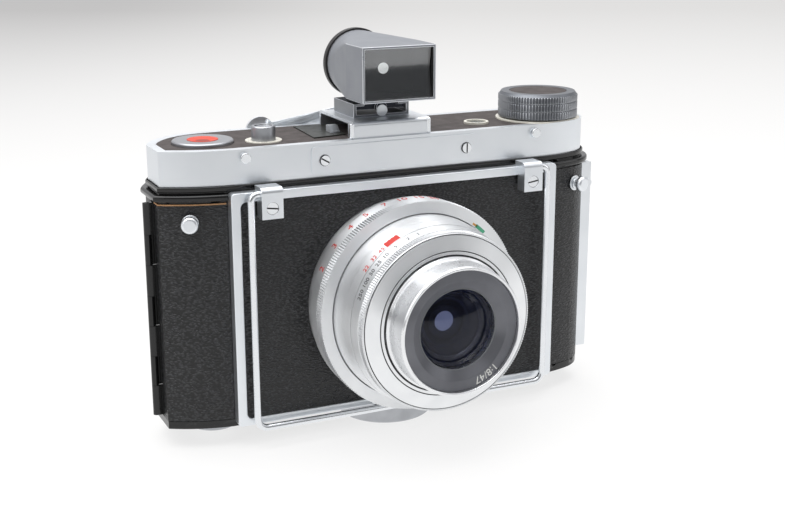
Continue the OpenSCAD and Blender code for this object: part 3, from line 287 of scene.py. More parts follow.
partFinish = {
    "blackEnamel": ["body_casting", "bottom_cover", "front_panel", "back_door", "hinge_body_leaf",
                    "hinge_door_leaf"],
    "embossedLeather": ["leather_panels", "door_leather"],
    "mattBlack": ["light_box", "pressure_plate"],
    "satinChrome": ["top_cover", "front_frame", "name_plate", "shoe_platform", "latch_bar", "strap_studs",
                    "wire_brackets", "release_slide", "sight_arm"],
    "brightChrome": ["case_screws", "catch_pins"],
    "drawnWire": ["wire_frame"],
    "wornChrome": ["winding_knob", "dial_ring", "release_button", "sight_pivot", "tripod_disc",
                   "spool_stud_left", "spool_stud_right"],
    "shoeSteel": ["shoe_channel"],
    "plainSteel": ["film_roller_left", "film_roller_right", "winding_shaft", "pressure_springs"],
    "bluedSteel": ["shutter_blades", "iris_blades", "finder_foot"],
    "blackAnodised": ["lens_ring"],
    "blackLacquer": ["finder_eyepiece"],
    "mouldedPlastic": ["take_up_spool"],
    "greyLacquer": ["finder_body"],
    "topVinyl": ["top_inlay", "knob_inlay"],
    "slidePaint": ["slide_plate"],
    "creamEnamel": ["top_rings", "counter_disc"],
    "redEnamel": ["dial_centre"],
    "turnedAlloy": ["lens_base", "focus_ring", "shutter_housing", "speed_ring", "aperture_ring", "face_plate",
                    "cocking_lever"],
    "turnedBright": ["lens_barrel"],
    "coatedLensGlass": ["front_lens", "rear_lens"],
    "windowGlass": ["finder_glass", "finder_eye_lens", "counter_glass"],
}
finishOf = {part: finish for finish, parts in partFinish.items() for part in parts}
for part, finish in finishOf.items():
    nodes[part].data.materials.clear()
    nodes[part].data.materials.append(finishes[finish])
print("parts without a finish:", sorted(set(nodes) - set(finishOf)))


# Rounds the corners of a bmesh that turn by more than the given angle; levels pick those at given heights
def roundEdges(bm, edge, segments=2, sharp=28, levels=None, material=0):
    bmesh.ops.recalc_face_normals(bm, faces=bm.faces)
    corners = [e for e in bm.edges if len(e.link_faces) == 2 and e.calc_face_angle() > math.radians(sharp)]
    if levels:
        slack = 0.01 * mm
        corners = [e for e in corners if e.is_convex and
                   any(all(abs(v.co.z - z) < slack for v in e.verts) for z in levels)]
    rounds = bmesh.ops.bevel(bm, geom=corners, offset=edge * mm, offset_type="OFFSET", affect="EDGES",
                             segments=segments, profile=0.5, material=-1, clamp_overlap=True)
    for face in rounds["faces"]:
        face.material_index = material
    bmesh.ops.remove_doubles(bm, verts=bm.verts, dist=weld)


# Faces that look inward in an open shell, and those that look forward behind its rim, take its third
# material, so that the hollow stays dark
def markInside(bm):
    middle = sum((v.co for v in bm.verts), Vector()) / len(bm.verts)
    rim = min(v.co.y for v in bm.verts) + 1 * mm
    endOn = 0.9
    for face in bm.faces:
        centre = face.calc_center_median()
        away = centre - middle
        inward = face.normal.x * away.x + face.normal.z * away.z < 0 and abs(face.normal.y) < endOn
        if inward or (face.normal.y < -endOn and centre.y > rim):
            face.material_index = 2


# Puts a finished bmesh into the scene: shade, ride, replace. The finish named by worn goes on the faces of
# the second material: the rounded edges, where it is bare worn metal that also paints a highlight, or the
# knob's grooves and top, where it is painted shade. The one named by inside goes on the faces of the hollow.
def place(bm, name, body, finish, replaced=(), edge=0.0, segments=2, worn=None, inside=None):
    bmesh.ops.remove_doubles(bm, verts=bm.verts, dist=weld)
    if edge:
        roundEdges(bm, edge, segments, material=1 if worn else 0)
    bmesh.ops.recalc_face_normals(bm, faces=bm.faces)
    if inside:
        markInside(bm)
    mesh = bpy.data.meshes.new(name)
    bm.to_mesh(mesh)
    bm.free()
    mesh.shade_smooth()
    mesh.set_sharp_from_angle(angle=math.radians(smoothAngle))
    piece = bpy.data.objects.new(name, mesh)
    bpy.context.scene.collection.objects.link(piece)
    for shown in (finish, worn, inside):
        if shown:
            mesh.materials.append(finishes[shown])
    even = piece.modifiers.new("evenNormals", "WEIGHTED_NORMAL")
    even.keep_sharp = True
    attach(piece, body)
    if replaced:
        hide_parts(*replaced)


# A part's own shape with its edges rounded as finishing leaves them; rolls are wider rounds at given heights.
# The finder is a shell: its sides are cut into small faces first, or the rounding would close its window.
def soften(part, edge, rolls=()):
    bm = bmesh.new()
    bm.from_mesh(nodes[part].data)
    bmesh.ops.remove_doubles(bm, verts=bm.verts, dist=partWeld)
    bmesh.ops.dissolve_limit(bm, angle_limit=math.radians(flatAngle), verts=bm.verts, edges=bm.edges)
    inside = "mattBlack" if part == "finder_body" else None
    if inside:
        bmesh.ops.triangulate(bm, faces=[f for f in bm.faces if len(f.verts) > 4])
    for size, levels in rolls:
        roundEdges(bm, size, segments=4, sharp=60, levels=levels)
    # The listed parts' rounded edges take bare worn metal, which also paints their highlight
    worn = "wornHighlightEdge" if part in wornHighlightParts else None
    place(bm, part + "_finished", nodes[part]["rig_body"], finishOf[part], [part], edge, worn=worn,
          inside=inside)


wornHighlightParts = ["finder_body", "shoe_channel", "finder_foot", "sight_arm"]
softEdges = {"top_cover": 0.45, "front_frame": 0.7, "name_plate": 0.15, "shoe_platform": 0.25,
             "shoe_channel": 0.15, "finder_body": 0.3, "wire_brackets": 0.35, "latch_bar": 0.3,
             "tripod_disc": 0.2, "release_button": 0.12, "dial_ring": 0.12, "top_rings": 0.1,
             "case_screws": 0.1, "catch_pins": 0.3, "strap_studs": 0.4, "sight_arm": 0.15,
             "finder_eyepiece": 0.3, "bottom_cover": 0.2, "finder_foot": 0.12}
for part, edge in softEdges.items():
    soften(part, edge)
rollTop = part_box("top_cover")[0].z
soften("body_casting", 0.15, rolls=[(0.8, [rollTop - 0.8 * mm, rollTop - 3.0 * mm]),
                                    (0.45, [rollTop + 1.6 * mm, rollTop - 0.2 * mm])])
print("edges rounded on", len(softEdges) + 1, "parts")


# A section in millimetres, as (radius, distance ahead of the foot), spun round the line from the foot
def spinSection(bm, section, foot, ahead, steps):
    verts = [bm.verts.new((foot[0] + r * mm, foot[1] + ahead[1] * out * mm, foot[2] + ahead[2] * out * mm))
             for r, out in section]
    edges = [bm.edges.new(pair) for pair in zip(verts, verts[1:] + verts[:1])
             if any(v.co.x > foot[0] for v in pair)]
    bmesh.ops.spin(bm, geom=verts + edges, cent=foot, axis=ahead, angle=2 * math.pi, steps=steps,
                   use_merge=True)


# A section in (radius, distance in front of the frame) spun round the lens axis
def turn(bm, section, steps=192):
    spinSection(bm, section, (0, frameFace, lensAxis.z), (0, -1, 0), steps)


# Cut teeth: a band whose every other line of corners lies deeper by the given depth; its root is sunk below
# that by half a millimetre
def addTeeth(bm, back, front, radius, depth, count):
    before = set(bm.verts)
    root = radius - depth - 0.5
    turn(bm, [(root, back), (radius, back), (radius, front), (root, front)], 2 * count)
    for v in set(bm.verts) - before:
        x, z = v.co.x, v.co.z - lensAxis.z
        reach = math.hypot(x, z)
        if reach > (root + radius) / 2 * mm and round(math.atan2(z, x) / math.pi * count) % 2:
            v.co.x = x * (1 - depth * mm / reach)
            v.co.z = lensAxis.z + z * (1 - depth * mm / reach)


# Rings of the lens from the back forward: sections in (radius, distance in front of the frame), and teeth in
# the order that addTeeth takes them
lensRings = {
    "focusingRing": {"body": "focusing", "finish": "turnedAlloy", "replaced": ["focus_ring"], "edge": 0.15,
                     "section": [(28.05, 4.7), (35.8, 4.7), (36.05, 5.0), (36.05, 10.2), (35.8, 10.4),
                                 (35.8, 14.3), (35.6, 14.6), (32.2, 14.6), (32.15, 14.4), (32.15, 9.8),
                                 (28.05, 9.8)],
                     "teeth": (10.5, 14.6, 36.4, 0.42, 250)},
    "shutterDrum": {"body": "lens", "finish": "turnedAlloy", "replaced": ["shutter_housing"], "edge": 0.03,
                    "section": [(14, -8), (24, -8), (24, 10.5), (31.8, 10.5), (31.8, 15.7), (31.6, 20.58),
                                (28, 20.58), (28, 33.3), (14, 33.3)]},
    "cockingRing": {"body": "cocking", "finish": "turnedAlloy", "replaced": ["cocking_lever"], "edge": 0.02,
                    "section": [(28.05, 20.6), (31.58, 20.6), (31.5, 22.1), (28.05, 22.1)]},
    "apertureRing": {"body": "apertures", "finish": "turnedAlloy", "replaced": ["aperture_ring"],
                     "edge": 0.03,
                     "section": [(28.05, 22.12), (31.48, 22.12), (30.95, 26.35), (28.05, 26.35)]},
    "speedRing": {"body": "speeds", "finish": "turnedAlloy", "replaced": ["speed_ring"], "edge": 0.05,
                  "section": [(28.05, 26.55), (30.85, 26.55), (30.35, 30.95), (29.85, 31.05), (29.85, 33.8),
                              (29.6, 34.1), (29.5, 34.1), (29.5, 33.35), (28.05, 33.35)],
                  "teeth": (31.05, 33.8, 30.25, 0.28, 230)},
    "facePlate": {"body": "lens", "finish": "turnedPlate", "replaced": ["face_plate"], "edge": 0.04,
                  "section": [(14, 33.3), (29.2, 33.3), (29.2, 34.2), (24.4, 35.05), (24.3, 34.8),
                              (24.05, 34.8), (24.0, 35.1), (23.1, 35.2), (23.0, 34.7), (14, 34.7)]},
    "lensTube": {"body": "lens", "finish": "turnedBright", "replaced": ["lens_barrel"], "edge": 0.1,
                 "section": [(13.5, 34.75), (22.5, 34.75), (22.5, 35.7), (21.75, 36.3), (21.45, 44.4),
                             (21.05, 44.95), (20.45, 44.95), (20.25, 44.7), (20.25, 40.95),
                             (13.5, 40.95)]},
    "nameRing": {"body": "lens", "finish": "blackAnodised", "replaced": ["lens_ring"], "edge": 0.12,
                 "section": [(13.5, 41.0), (13.55, 41.5), (14.2, 41.8), (16.3, 43.2), (16.7, 43.5),
                             (20.2, 43.5), (20.2, 41.0)]},
    "glassLip": {"body": "lens", "finish": "rimLacquer", "replaced": [], "edge": 0.04,
                 "section": [(13.36, 41.0), (13.62, 41.0), (13.62, 41.6), (13.36, 41.6)]},
    # Painted shade: black rings in the face plate's groove, round the tube's foot and in the gap at the
    # plate's edge
    "plateGrooveShade": {"body": "lens", "finish": "blackFillAndShade", "replaced": [], "edge": 0.02,
                  "section": [(24.06, 34.7), (24.29, 34.7), (24.29, 34.95), (24.06, 34.95)]},
    "tubeShadowLine": {"body": "lens", "finish": "blackFillAndShade", "replaced": [], "edge": 0.02,
                       "section": [(22.52, 34.5), (22.98, 34.5), (22.98, 34.8), (22.52, 34.8)]},
    "plateGapShade": {"body": "lens", "finish": "blackFillAndShade", "replaced": [], "edge": 0.02,
                      "section": [(29.22, 33.36), (29.46, 33.36), (29.46, 33.7), (29.22, 33.7)]},
}
for name, ring in lensRings.items():
    bm = bmesh.new()
    turn(bm, ring["section"])
    roundEdges(bm, ring["edge"])
    if "teeth" in ring:
        addTeeth(bm, *ring["teeth"])
    place(bm, name, ring["body"], ring["finish"], ring["replaced"])


# Points of a ball's cap from the axis to its rim; the apex lies at the given distance in front of the frame
def cap(ball, rim, apex, count=14):
    reach = math.asin(rim / ball)
    return [(ball * math.sin(reach * i / count), apex - ball + ball * math.cos(reach * i / count))
            for i in range(count + 1)]


# The front element is a meniscus. Behind it the blackened tunnel narrows to the open iris, where a glowing
# pale round of painted light stands for the reflection seen deep in the lens, and a strongly curved element
# stands in front of that.
glass = {"rim": 13.34, "front": 42.0, "frontBall": 31.0, "backBall": 24.0, "thick": 1.8, "inner": 8.4,
         "innerBall": 10.5, "innerFront": 35.2, "innerThick": 1.6, "innerLip": 1.2, "eye": 3.3, "eyeAt": 31.0,
         "eyeCrown": 0.1, "eyeBack": 30.5, "tunnelBack": 30.4,
         "tunnel": [(13.34, 38.6), (12.3, 37.6), (11.9, 37.6), (10.6, 35.6), (10.2, 35.6), (8.5, 32.2),
                    (5.6, 31.4), (5.4, 31.6)]}
bm = bmesh.new()
outer = cap(glass["frontBall"], glass["rim"], glass["front"])
inner = cap(glass["backBall"], glass["rim"], glass["front"] - glass["thick"])
turn(bm, outer + inner[::-1])
place(bm, "frontMeniscus", "lens", "coatedLensGlass", ["front_lens"])
bm = bmesh.new()
dome = cap(glass["innerBall"], glass["inner"], glass["innerFront"])
hollow = cap(glass["innerBall"] - glass["innerThick"], glass["inner"] - glass["innerLip"],
             glass["innerFront"] - glass["innerThick"])
turn(bm, dome + hollow[::-1])
place(bm, "innerDome", "lens", "coatedLensGlass", ["front_lens"])
bm = bmesh.new()
turn(bm, glass["tunnel"] + [(glass["eye"], glass["eyeAt"]), (glass["eye"], glass["tunnelBack"]),
                            (glass["rim"], glass["tunnelBack"])])
place(bm, "innerTunnel", "lens", "innerElement", ["front_lens"], 0.1)
bm = bmesh.new()
turn(bm, [(0, glass["eyeAt"] + glass["eyeCrown"]), (glass["eye"], glass["eyeAt"] - glass["eyeCrown"]),
          (glass["eye"], glass["eyeBack"]), (0, glass["eyeBack"])])
place(bm, "irisGlowDisc", "lens", "lensGlow", ["front_lens"])
print("lens rings turned:", len(lensRings))


# Flat work in millimetres laid round the lens axis: x runs clockwise as seen from the front. On a ring's side
# its y runs backward and the radius follows the ring; on a front face y runs outward.
def wrap(bm, angle, out, radius, slope, onFace):
    for v in bm.verts:
        x, y, lift = v.co
        reach = radius + y if onFace else radius + slope * y + lift
        turned = math.radians(angle) - x / radius
        v.co = (reach * math.cos(turned) * mm, frameFace - (out + (lift if onFace else -y)) * mm,
                lensAxis.z + reach * math.sin(turned) * mm)


paint = 0.03  # millimetres that painted marks stand proud
figureShare = 0.7  # a figure's height as a share of the font's size


# Figures of a given height, as a thin solid centred on the origin, in millimetres
def addFigures(bm, text, height):
    curve = bpy.data.curves.new("figures", "FONT")
    curve.body, curve.size = text, height / figureShare
    curve.align_x, curve.align_y = "CENTER", "CENTER"
    curve.resolution_u, curve.extrude = 3, paint
    shown = bpy.data.objects.new("figures", curve)
    mesh = bpy.data.meshes.new_from_object(shown)
    bm.from_mesh(mesh)
    bpy.data.objects.remove(shown)
    bpy.data.curves.remove(curve)


# Painted figures of the rings, each as (text, angle); slope is the ring's taper
figures = {
    "focusFigures": {"body": "focusing", "finish": "redFill", "out": 7.3, "radius": 36.06, "slope": 0.0,
                     "onFace": False, "height": 2.9,
                     "marks": [("2", 155), ("3", 141.3), ("4", 128.4), ("5", 117.9), ("7", 106.2), ("10", 96),
                               ("15", 86), ("30", 77)]},
    "stopFigures": {"body": "apertures", "finish": "redFill", "out": 25.2, "radius": 31.16, "slope": 0.126,
                    "onFace": False, "height": 1.7, "marks": [("22", 142.4), ("32", 134.9), ("45", 128.3)]},
    "speedFigures": {"body": "speeds", "finish": "blackFillAndShade", "out": 28.9, "radius": 30.6, "slope": 0.114,
                     "onFace": False, "height": 1.7,
                     "marks": [("250", 157.5), ("100", 149.6), ("50", 142.4), ("25", 135.9), ("10", 129.6),
                               ("5", 121.5), ("2", 112.5), ("1", 105.5)]},
    "lensFigures": {"body": "lens", "finish": "whiteFill", "out": 43.52, "radius": 18.4, "slope": 0.0,
                    "onFace": True, "height": 2.5, "marks": [("1:8/47", -59)]},
}
for name, row in figures.items():
    whole = bmesh.new()
    for text, angle in row["marks"]:
        bm = bmesh.new()
        addFigures(bm, text, row["height"])
        wrap(bm, angle, row["out"], row["radius"], row["slope"], row["onFace"])
        mark = bpy.data.meshes.new("mark")
        bm.to_mesh(mark)
        bm.free()
        whole.from_mesh(mark)
        bpy.data.meshes.remove(mark)
    place(whole, name, row["body"], row["finish"])


# Gives flat work a thickness: its faces are pushed out along the given way
def thicken(bm, way):
    skin = bmesh.ops.extrude_face_region(bm, geom=bm.faces[:])
    bmesh.ops.translate(bm, verts=[v for v in skin["geom"] if isinstance(v, bmesh.types.BMVert)], vec=way)


# Painted marks: the red depth block with its steps, and two small coloured flags on the focusing ring
flags = {
    "depthMark": {"body": "apertures", "finish": "redFill", "angle": 119.8, "out": 24.85, "radius": 31.14,
                  "slope": 0.126, "size": (5.4, 2.6), "step": 0.45, "onFace": False},
    "amberFlag": {"body": "focusing", "finish": "amberFill", "angle": 52.6, "out": 14.62, "radius": 33.0,
                  "slope": 0.0, "size": (2.0, 0.7), "step": 0.0, "onFace": True},
    "greenFlag": {"body": "focusing", "finish": "greenFill", "angle": 48.2, "out": 14.62, "radius": 33.0,
                  "slope": 0.0, "size": (4.2, 1.2), "step": 0.0, "onFace": True},
}
flagColumns = 8  # every other line of corners along a flag's upper edge rises by its step
for name, flag in flags.items():
    bm = bmesh.new()
    bmesh.ops.create_grid(bm, x_segments=flagColumns, y_segments=1, size=0.5)
    for v in bm.verts:
        column = round((v.co.x + 0.5) * flagColumns)
        v.co.x *= flag["size"][0]
        v.co.y = v.co.y * flag["size"][1] + (flag["step"] * (column % 2) if v.co.y > 0 else 0)
    thicken(bm, (0, 0, paint))
    wrap(bm, flag["angle"], flag["out"], flag["radius"], flag["slope"], flag["onFace"])
    place(bm, name, flag["body"], flag["finish"])
print("figures laid on the rings:", sum(len(row["marks"]) for row in figures.values()))


# A round plate that faces the front, with its centre at a place in metres; the rest in millimetres
def facingDisc(radius, centre, thick, segments):
    disc = bmesh.new()
    bmesh.ops.create_circle(disc, cap_ends=True, segments=segments, radius=radius * mm)
    bmesh.ops.rotate(disc, verts=disc.verts, cent=(0, 0, 0), matrix=Matrix.Rotation(math.radians(90), 3, "X"))
    bmesh.ops.translate(disc, verts=disc.verts, vec=centre)
    thicken(disc, (0, thick * mm, 0))
    return disc


# The finder: a hollow-ground front element, and the eyepiece's glowing disc of painted light on a dark card
# of painted shade well inside. The element's curve has the radius hollow, is drawn out sideways by stretch
# and has its middle at tip.
finder = {"hollow": 46, "stretch": 0.45, "sink": 0.15, "bulge": 1.9, "tip": 1.6, "thick": 1.4, "eye": 1.9,
          "eyeAt": -2.0, "eyeRaise": 0.5, "eyeSides": 40, "stop": (11.0, 7.6), "stopBehind": 0.4,
          "plate": 0.3}
finderBody = nodes["finder_glass"]["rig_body"]
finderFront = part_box("finder_body")[0].y
eyeAxis = sum(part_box("finder_eye_lens"), Vector()) / 2
paneLow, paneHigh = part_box("finder_glass")
windowAt = (paneLow + paneHigh) / 2
bm = bmesh.new()
bmesh.ops.create_grid(bm, x_segments=24, y_segments=18, size=0.5)
for v in bm.verts:
    v.co = (windowAt.x + v.co.x * (paneHigh.x - paneLow.x), finderFront + finder["sink"] * mm,
            windowAt.z + v.co.y * (paneHigh.z - paneLow.z))
    away = math.hypot(finder["stretch"] * (v.co.x - windowAt.x),
                      v.co.z - windowAt.z - finder["tip"] * mm) / mm
    v.co.y += (math.sqrt(finder["hollow"] ** 2 - away ** 2) - finder["hollow"] + finder["bulge"]) * mm
thicken(bm, (0, finder["thick"] * mm, 0))
place(bm, "finderFrontElement", finderBody, "frontElement", ["finder_glass"])
eyeCentre = (eyeAxis.x, finder["eyeAt"] * mm, eyeAxis.z + finder["eyeRaise"] * mm)
place(facingDisc(finder["eye"], eyeCentre, finder["plate"], finder["eyeSides"]), "eyepieceDaylight",
      finderBody, "brightDaylight")

# The round head that shows at the front of the finder's foot
footHead = {"radius": 2.0, "proud": 0.35, "raise": 1.0, "thick": 0.5, "sides": 48, "edge": 0.08}
footLow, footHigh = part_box("finder_foot")
headCentre = ((footLow.x + footHigh.x) / 2, footLow.y - footHead["proud"] * mm,
              footLow.z + footHead["raise"] * mm)
place(facingDisc(footHead["radius"], headCentre, footHead["thick"], footHead["sides"]), "footHead",
      nodes["finder_foot"]["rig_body"], "satinChrome", edge=footHead["edge"])

# A dark card in the finder, painted shade for its dark inside, which carries the glowing eyepiece disc
bm = bmesh.new()
bmesh.ops.create_grid(bm, x_segments=1, y_segments=1, size=1)
for v in bm.verts:
    v.co = (windowAt.x + v.co.x * finder["stop"][0] * mm, (finder["eyeAt"] + finder["stopBehind"]) * mm,
            windowAt.z + v.co.y * finder["stop"][1] * mm)
thicken(bm, (0, finder["plate"] * mm, 0))
place(bm, "finderShadeCard", finderBody, "mattBlack")
print("finder glazed")


# Round posts at the front corners of the shoe's platform; both stand a little to the left of its corners
posts = {"radius": 0.9, "left": 0.5, "inset": 0.6, "shorter": 0.7, "sides": 32, "edge": 0.25}
deckLow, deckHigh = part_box("shoe_platform")
bm = bmesh.new()
for corner in (deckLow.x, deckHigh.x):
    post = bmesh.ops.create_cone(bm, cap_ends=True, segments=posts["sides"], radius1=posts["radius"] * mm,
                                 radius2=posts["radius"] * mm,
                                 depth=deckHigh.z - deckLow.z - posts["shorter"] * mm)
    bmesh.ops.translate(bm, verts=post["verts"], vec=(corner - posts["left"] * mm,
                                                      deckLow.y + posts["inset"] * mm,
                                                      (deckLow.z + deckHigh.z) / 2))
place(bm, "platformPosts", nodes["shoe_platform"]["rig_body"], "brightChrome", edge=posts["edge"], segments=3)

# The winding knob: three rows of teeth cut on a turned body, with painted shade in their grooves and on its
# top, and the dark inlay. Sections are in (radius, height above the floor).
knob = {"radius": 14.4, "root": 13.2, "teeth": 84, "cut": 0.5, "chamfer": 0.25, "darkFrom": 110.32,
        "bodySteps": 168, "inlaySteps": 96,
        "rows": [(102.35, 105.0), (105.35, 107.8), (108.15, 110.3)],
        "body": [(3.4, 102.35), (13.6, 102.35), (13.6, 110.2), (14.1, 110.3), (13.75, 110.75), (13.4, 111.3),
                 (10.5, 111.3), (10.35, 110.9), (3.4, 110.9)],
        "inlay": [(0, 110.6), (10.3, 110.6), (10.3, 111.2), (10.0, 111.3), (5, 111.45), (0, 111.5)]}
knobFoot = (knobAxis.x, knobAxis.y, 0)
knobSteps = 4 * knob["teeth"]  # two corners of each tooth stay out and two are cut in
bm = bmesh.new()
spinSection(bm, knob["body"], knobFoot, (0, 0, 1), knob["bodySteps"])
for bottom, top in knob["rows"]:
    vertsBefore, facesBefore = set(bm.verts), set(bm.faces)
    band = [(knob["root"], bottom), (knob["radius"], bottom), (knob["radius"], top - knob["chamfer"]),
            (knob["radius"] - knob["chamfer"], top), (knob["root"], top)]
    spinSection(bm, band, knobFoot, (0, 0, 1), knobSteps)
    sunk = set()
    for v in set(bm.verts) - vertsBefore:
        away = v.co - Vector((knobAxis.x, knobAxis.y, v.co.z))
        quarter = round(math.atan2(away.y, away.x) / (2 * math.pi) * knobSteps) % 4
        if away.length > (knob["root"] + knob["radius"]) / 2 * mm and quarter > 1:
            v.co -= away.normalized() * knob["cut"] * mm
            sunk.add(v)
    for face in set(bm.faces) - facesBefore:
        if all(v in sunk for v in face.verts):
            face.material_index = 1
for face in bm.faces:
    if face.calc_center_median().z > knob["darkFrom"] * mm:
        face.material_index = 1
# The finish passed as worn here is painted shade in the grooves and on the top
place(bm, "knobToothed", "winder", "wornChrome", ["winding_knob"], worn="knobShadeSteel")
bm = bmesh.new()
spinSection(bm, knob["inlay"], knobFoot, (0, 0, 1), knob["inlaySteps"])
place(bm, "knobInlayDisc", "winder", "topVinyl", ["knob_inlay"])
print("knob cut with", knob["teeth"], "teeth")


# The groups of corners that edges join, one for each loose solid of a bmesh
def looseSolids(bm):
    left = set(bm.verts)
    for start in bm.verts:
        if start in left:
            left.remove(start)
            solid, queue = [], [start]
            while queue:
                solid.append(queue.pop())
                near = [v for v in (e.other_vert(solid[-1]) for e in solid[-1].link_edges) if v in left]
                left.difference_update(near)
                queue += near
            yield solid


# Painted shade at the front screws, placed from the screws' own mesh: a dark ring round each head for the
# shade in its seat, set further back on the cover than on the brackets, and a dark floor in its slot for the
# shade there
seatShade = {"gap": 0.02, "wide": 0.2, "deep": 0.2, "onCover": 0.45, "onBracket": -0.04, "slotIn": 0.12,
         "slot": (0.31, 0.34), "round": 0.1, "steps": 48}
screws, bm = bmesh.new(), bmesh.new()
screws.from_mesh(nodes["case_screws"].data)
bmesh.ops.remove_doubles(screws, verts=screws.verts, dist=partWeld)
for screw in looseSolids(screws):
    low, high = (Vector([pick(v.co[i] for v in screw) for i in range(3)]) for pick in (min, max))
    size = high - low
    if abs(size.x - size.z) > seatShade["round"] * mm:
        continue
    centre = (low + high) / 2
    radius = size.x / 2 / mm
    back = seatShade["onCover"] if centre.z > rollTop else seatShade["onBracket"]
    inner, outer = radius + seatShade["gap"], radius + seatShade["gap"] + seatShade["wide"]
    slotReach, (slotBack, slotFront) = radius - seatShade["slotIn"], seatShade["slot"]
    ring = [(inner, back), (outer, back), (outer, back + seatShade["deep"]), (inner, back + seatShade["deep"])]
    slotFloor = [(0, slotBack), (slotReach, slotBack), (slotReach, slotFront), (0, slotFront)]
    for section in (ring, slotFloor):
        spinSection(bm, section, (centre.x, low.y, centre.z), (0, 1, 0), seatShade["steps"])
screws.free()
place(bm, "screwSeatShade", nodes["case_screws"]["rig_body"], "blackFillAndShade")

# The film dial's dish, hollow towards a darker cup; heights are from the top of the dial's centre
dial = {"dish": [(0, -0.62), (2.7, -0.62), (4.25, -0.25), (5.0, 0), (5.15, -0.05), (5.15, -0.75), (0, -0.75)],
        "cup": [(0, -0.7), (2.35, -0.7), (2.35, -0.58), (2.1, -0.54), (0, -0.59)],
        "dishSteps": 72, "cupSteps": 48}
dialBody = nodes["dial_centre"]["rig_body"]
dialFoot = (dialAxis.x, dialAxis.y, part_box("dial_centre")[1].z)
bm = bmesh.new()
spinSection(bm, dial["dish"], dialFoot, (0, 0, 1), dial["dishSteps"])
place(bm, "dialDish", dialBody, "redEnamel", ["dial_centre"])
bm = bmesh.new()
spinSection(bm, dial["cup"], dialFoot, (0, 0, 1), dial["cupSteps"])
place(bm, "dialCup", dialBody, "darkRed")

# The raw edge of the leathercloth shows as a brown line round the body's left end: its top, cut off the
# panels' own mesh and a little proud of it
rawEdge = {"from": -61, "deep": 0.35, "proud": 0.06}
bm = bmesh.new()
bm.from_mesh(nodes["leather_panels"].data)
bmesh.ops.remove_doubles(bm, verts=bm.verts, dist=partWeld)
leatherTop = max(v.co.z for v in bm.verts if v.co.x < rawEdge["from"] * mm)
for point, normal in (((0, 0, leatherTop - rawEdge["deep"] * mm), (0, 0, -1)),
                      ((rawEdge["from"] * mm, 0, 0), (1, 0, 0))):
    bmesh.ops.bisect_plane(bm, geom=bm.verts[:] + bm.edges[:] + bm.faces[:], plane_co=point, plane_no=normal,
                           clear_outer=True)
    bmesh.ops.holes_fill(bm, edges=[e for e in bm.edges if e.is_boundary])
bmesh.ops.recalc_face_normals(bm, faces=bm.faces)
bm.normal_update()
for v in bm.verts:
    v.co += v.normal * rawEdge["proud"] * mm
place(bm, "leatherRawEdge", "camera", "cutLeather")
print("dial and leather edge done")


# Stage: a long pale floor whose glow darkens far behind, most of all at the left as the camera looks; this
# darkening is painted shade
stage = {"white": "#ffffff", "far": "#e2e1e0", "farLeft": "#bbbaba", "paper": "#f0efed", "reach": 4,
         "front": 0.75, "turn": 24.7, "fadeEnd": 1.7, "leftFrom": 0.1, "leftEnd": -0.5, "glow": 0.75}
floorBm = bmesh.new()
bmesh.ops.create_grid(floorBm, x_segments=1, y_segments=1, size=stage["reach"])
floorMesh = bpy.data.meshes.new("floor")
floorBm.to_mesh(floorMesh)
floorBm.free()
for v in floorMesh.vertices:
    v.co.y = max(v.co.y, -stage["front"])
floor = bpy.data.objects.new("floor", floorMesh)
bpy.context.scene.collection.objects.link(floor)
floorMaterial, tree, shader, coords = newMaterial("paperSweep", Roughness=0.9)
shader.inputs["Base Color"].default_value = linear(stage["paper"])
shader.inputs["Specular IOR Level"].default_value = 0.1
turnedFloor = addNode(tree, "Mapping", {"Vector": coords, "Rotation": (0, 0, math.radians(stage["turn"]))})
split = addNode(tree, "SeparateXYZ", {"Vector": turnedFloor.outputs["Vector"]})
sideways = addNode(tree, "MapRange", {"Value": split.outputs["X"], "From Min": stage["leftFrom"],
                                      "From Max": stage["leftEnd"], "To Min": 0.0, "To Max": 1.0},
                   interpolation_type="SMOOTHSTEP")
distant = addNode(tree, "Mix", {0: sideways.outputs["Result"], 6: linear(stage["far"]),
                                7: linear(stage["farLeft"])}, data_type="RGBA")
fade = addNode(tree, "MapRange", {"Value": split.outputs["Y"], "From Min": 0.0, "From Max": stage["fadeEnd"],
                                  "To Min": 0.0, "To Max": 1.0})
glow = addNode(tree, "Mix", {0: fade.outputs["Result"], 6: linear(stage["white"]),
                             7: distant.outputs[2]}, data_type="RGBA")
emission = addNode(tree, "Emission", {"Color": glow.outputs[2], "Strength": 1.0})
rays = addNode(tree, "LightPath")
seen = addNode(tree, "Math", {0: rays.outputs["Is Camera Ray"], 1: rays.outputs["Is Transmission Ray"]},
               operation="MAXIMUM")
glowSeen = addNode(tree, "Math", {0: seen.outputs["Value"], 1: stage["glow"]}, operation="MULTIPLY")
share = addNode(tree, "Math", {0: glowSeen.outputs["Value"], 1: rays.outputs["Is Glossy Ray"]},
                operation="MAXIMUM")
mixed = addNode(tree, "MixShader", {0: share.outputs["Value"], 1: shader.outputs["BSDF"],
                                    2: emission.outputs["Emission"]})
tree.links.new(mixed.outputs["Shader"], tree.nodes["Material Output"].inputs["Surface"])
floorMesh.materials.append(floorMaterial)

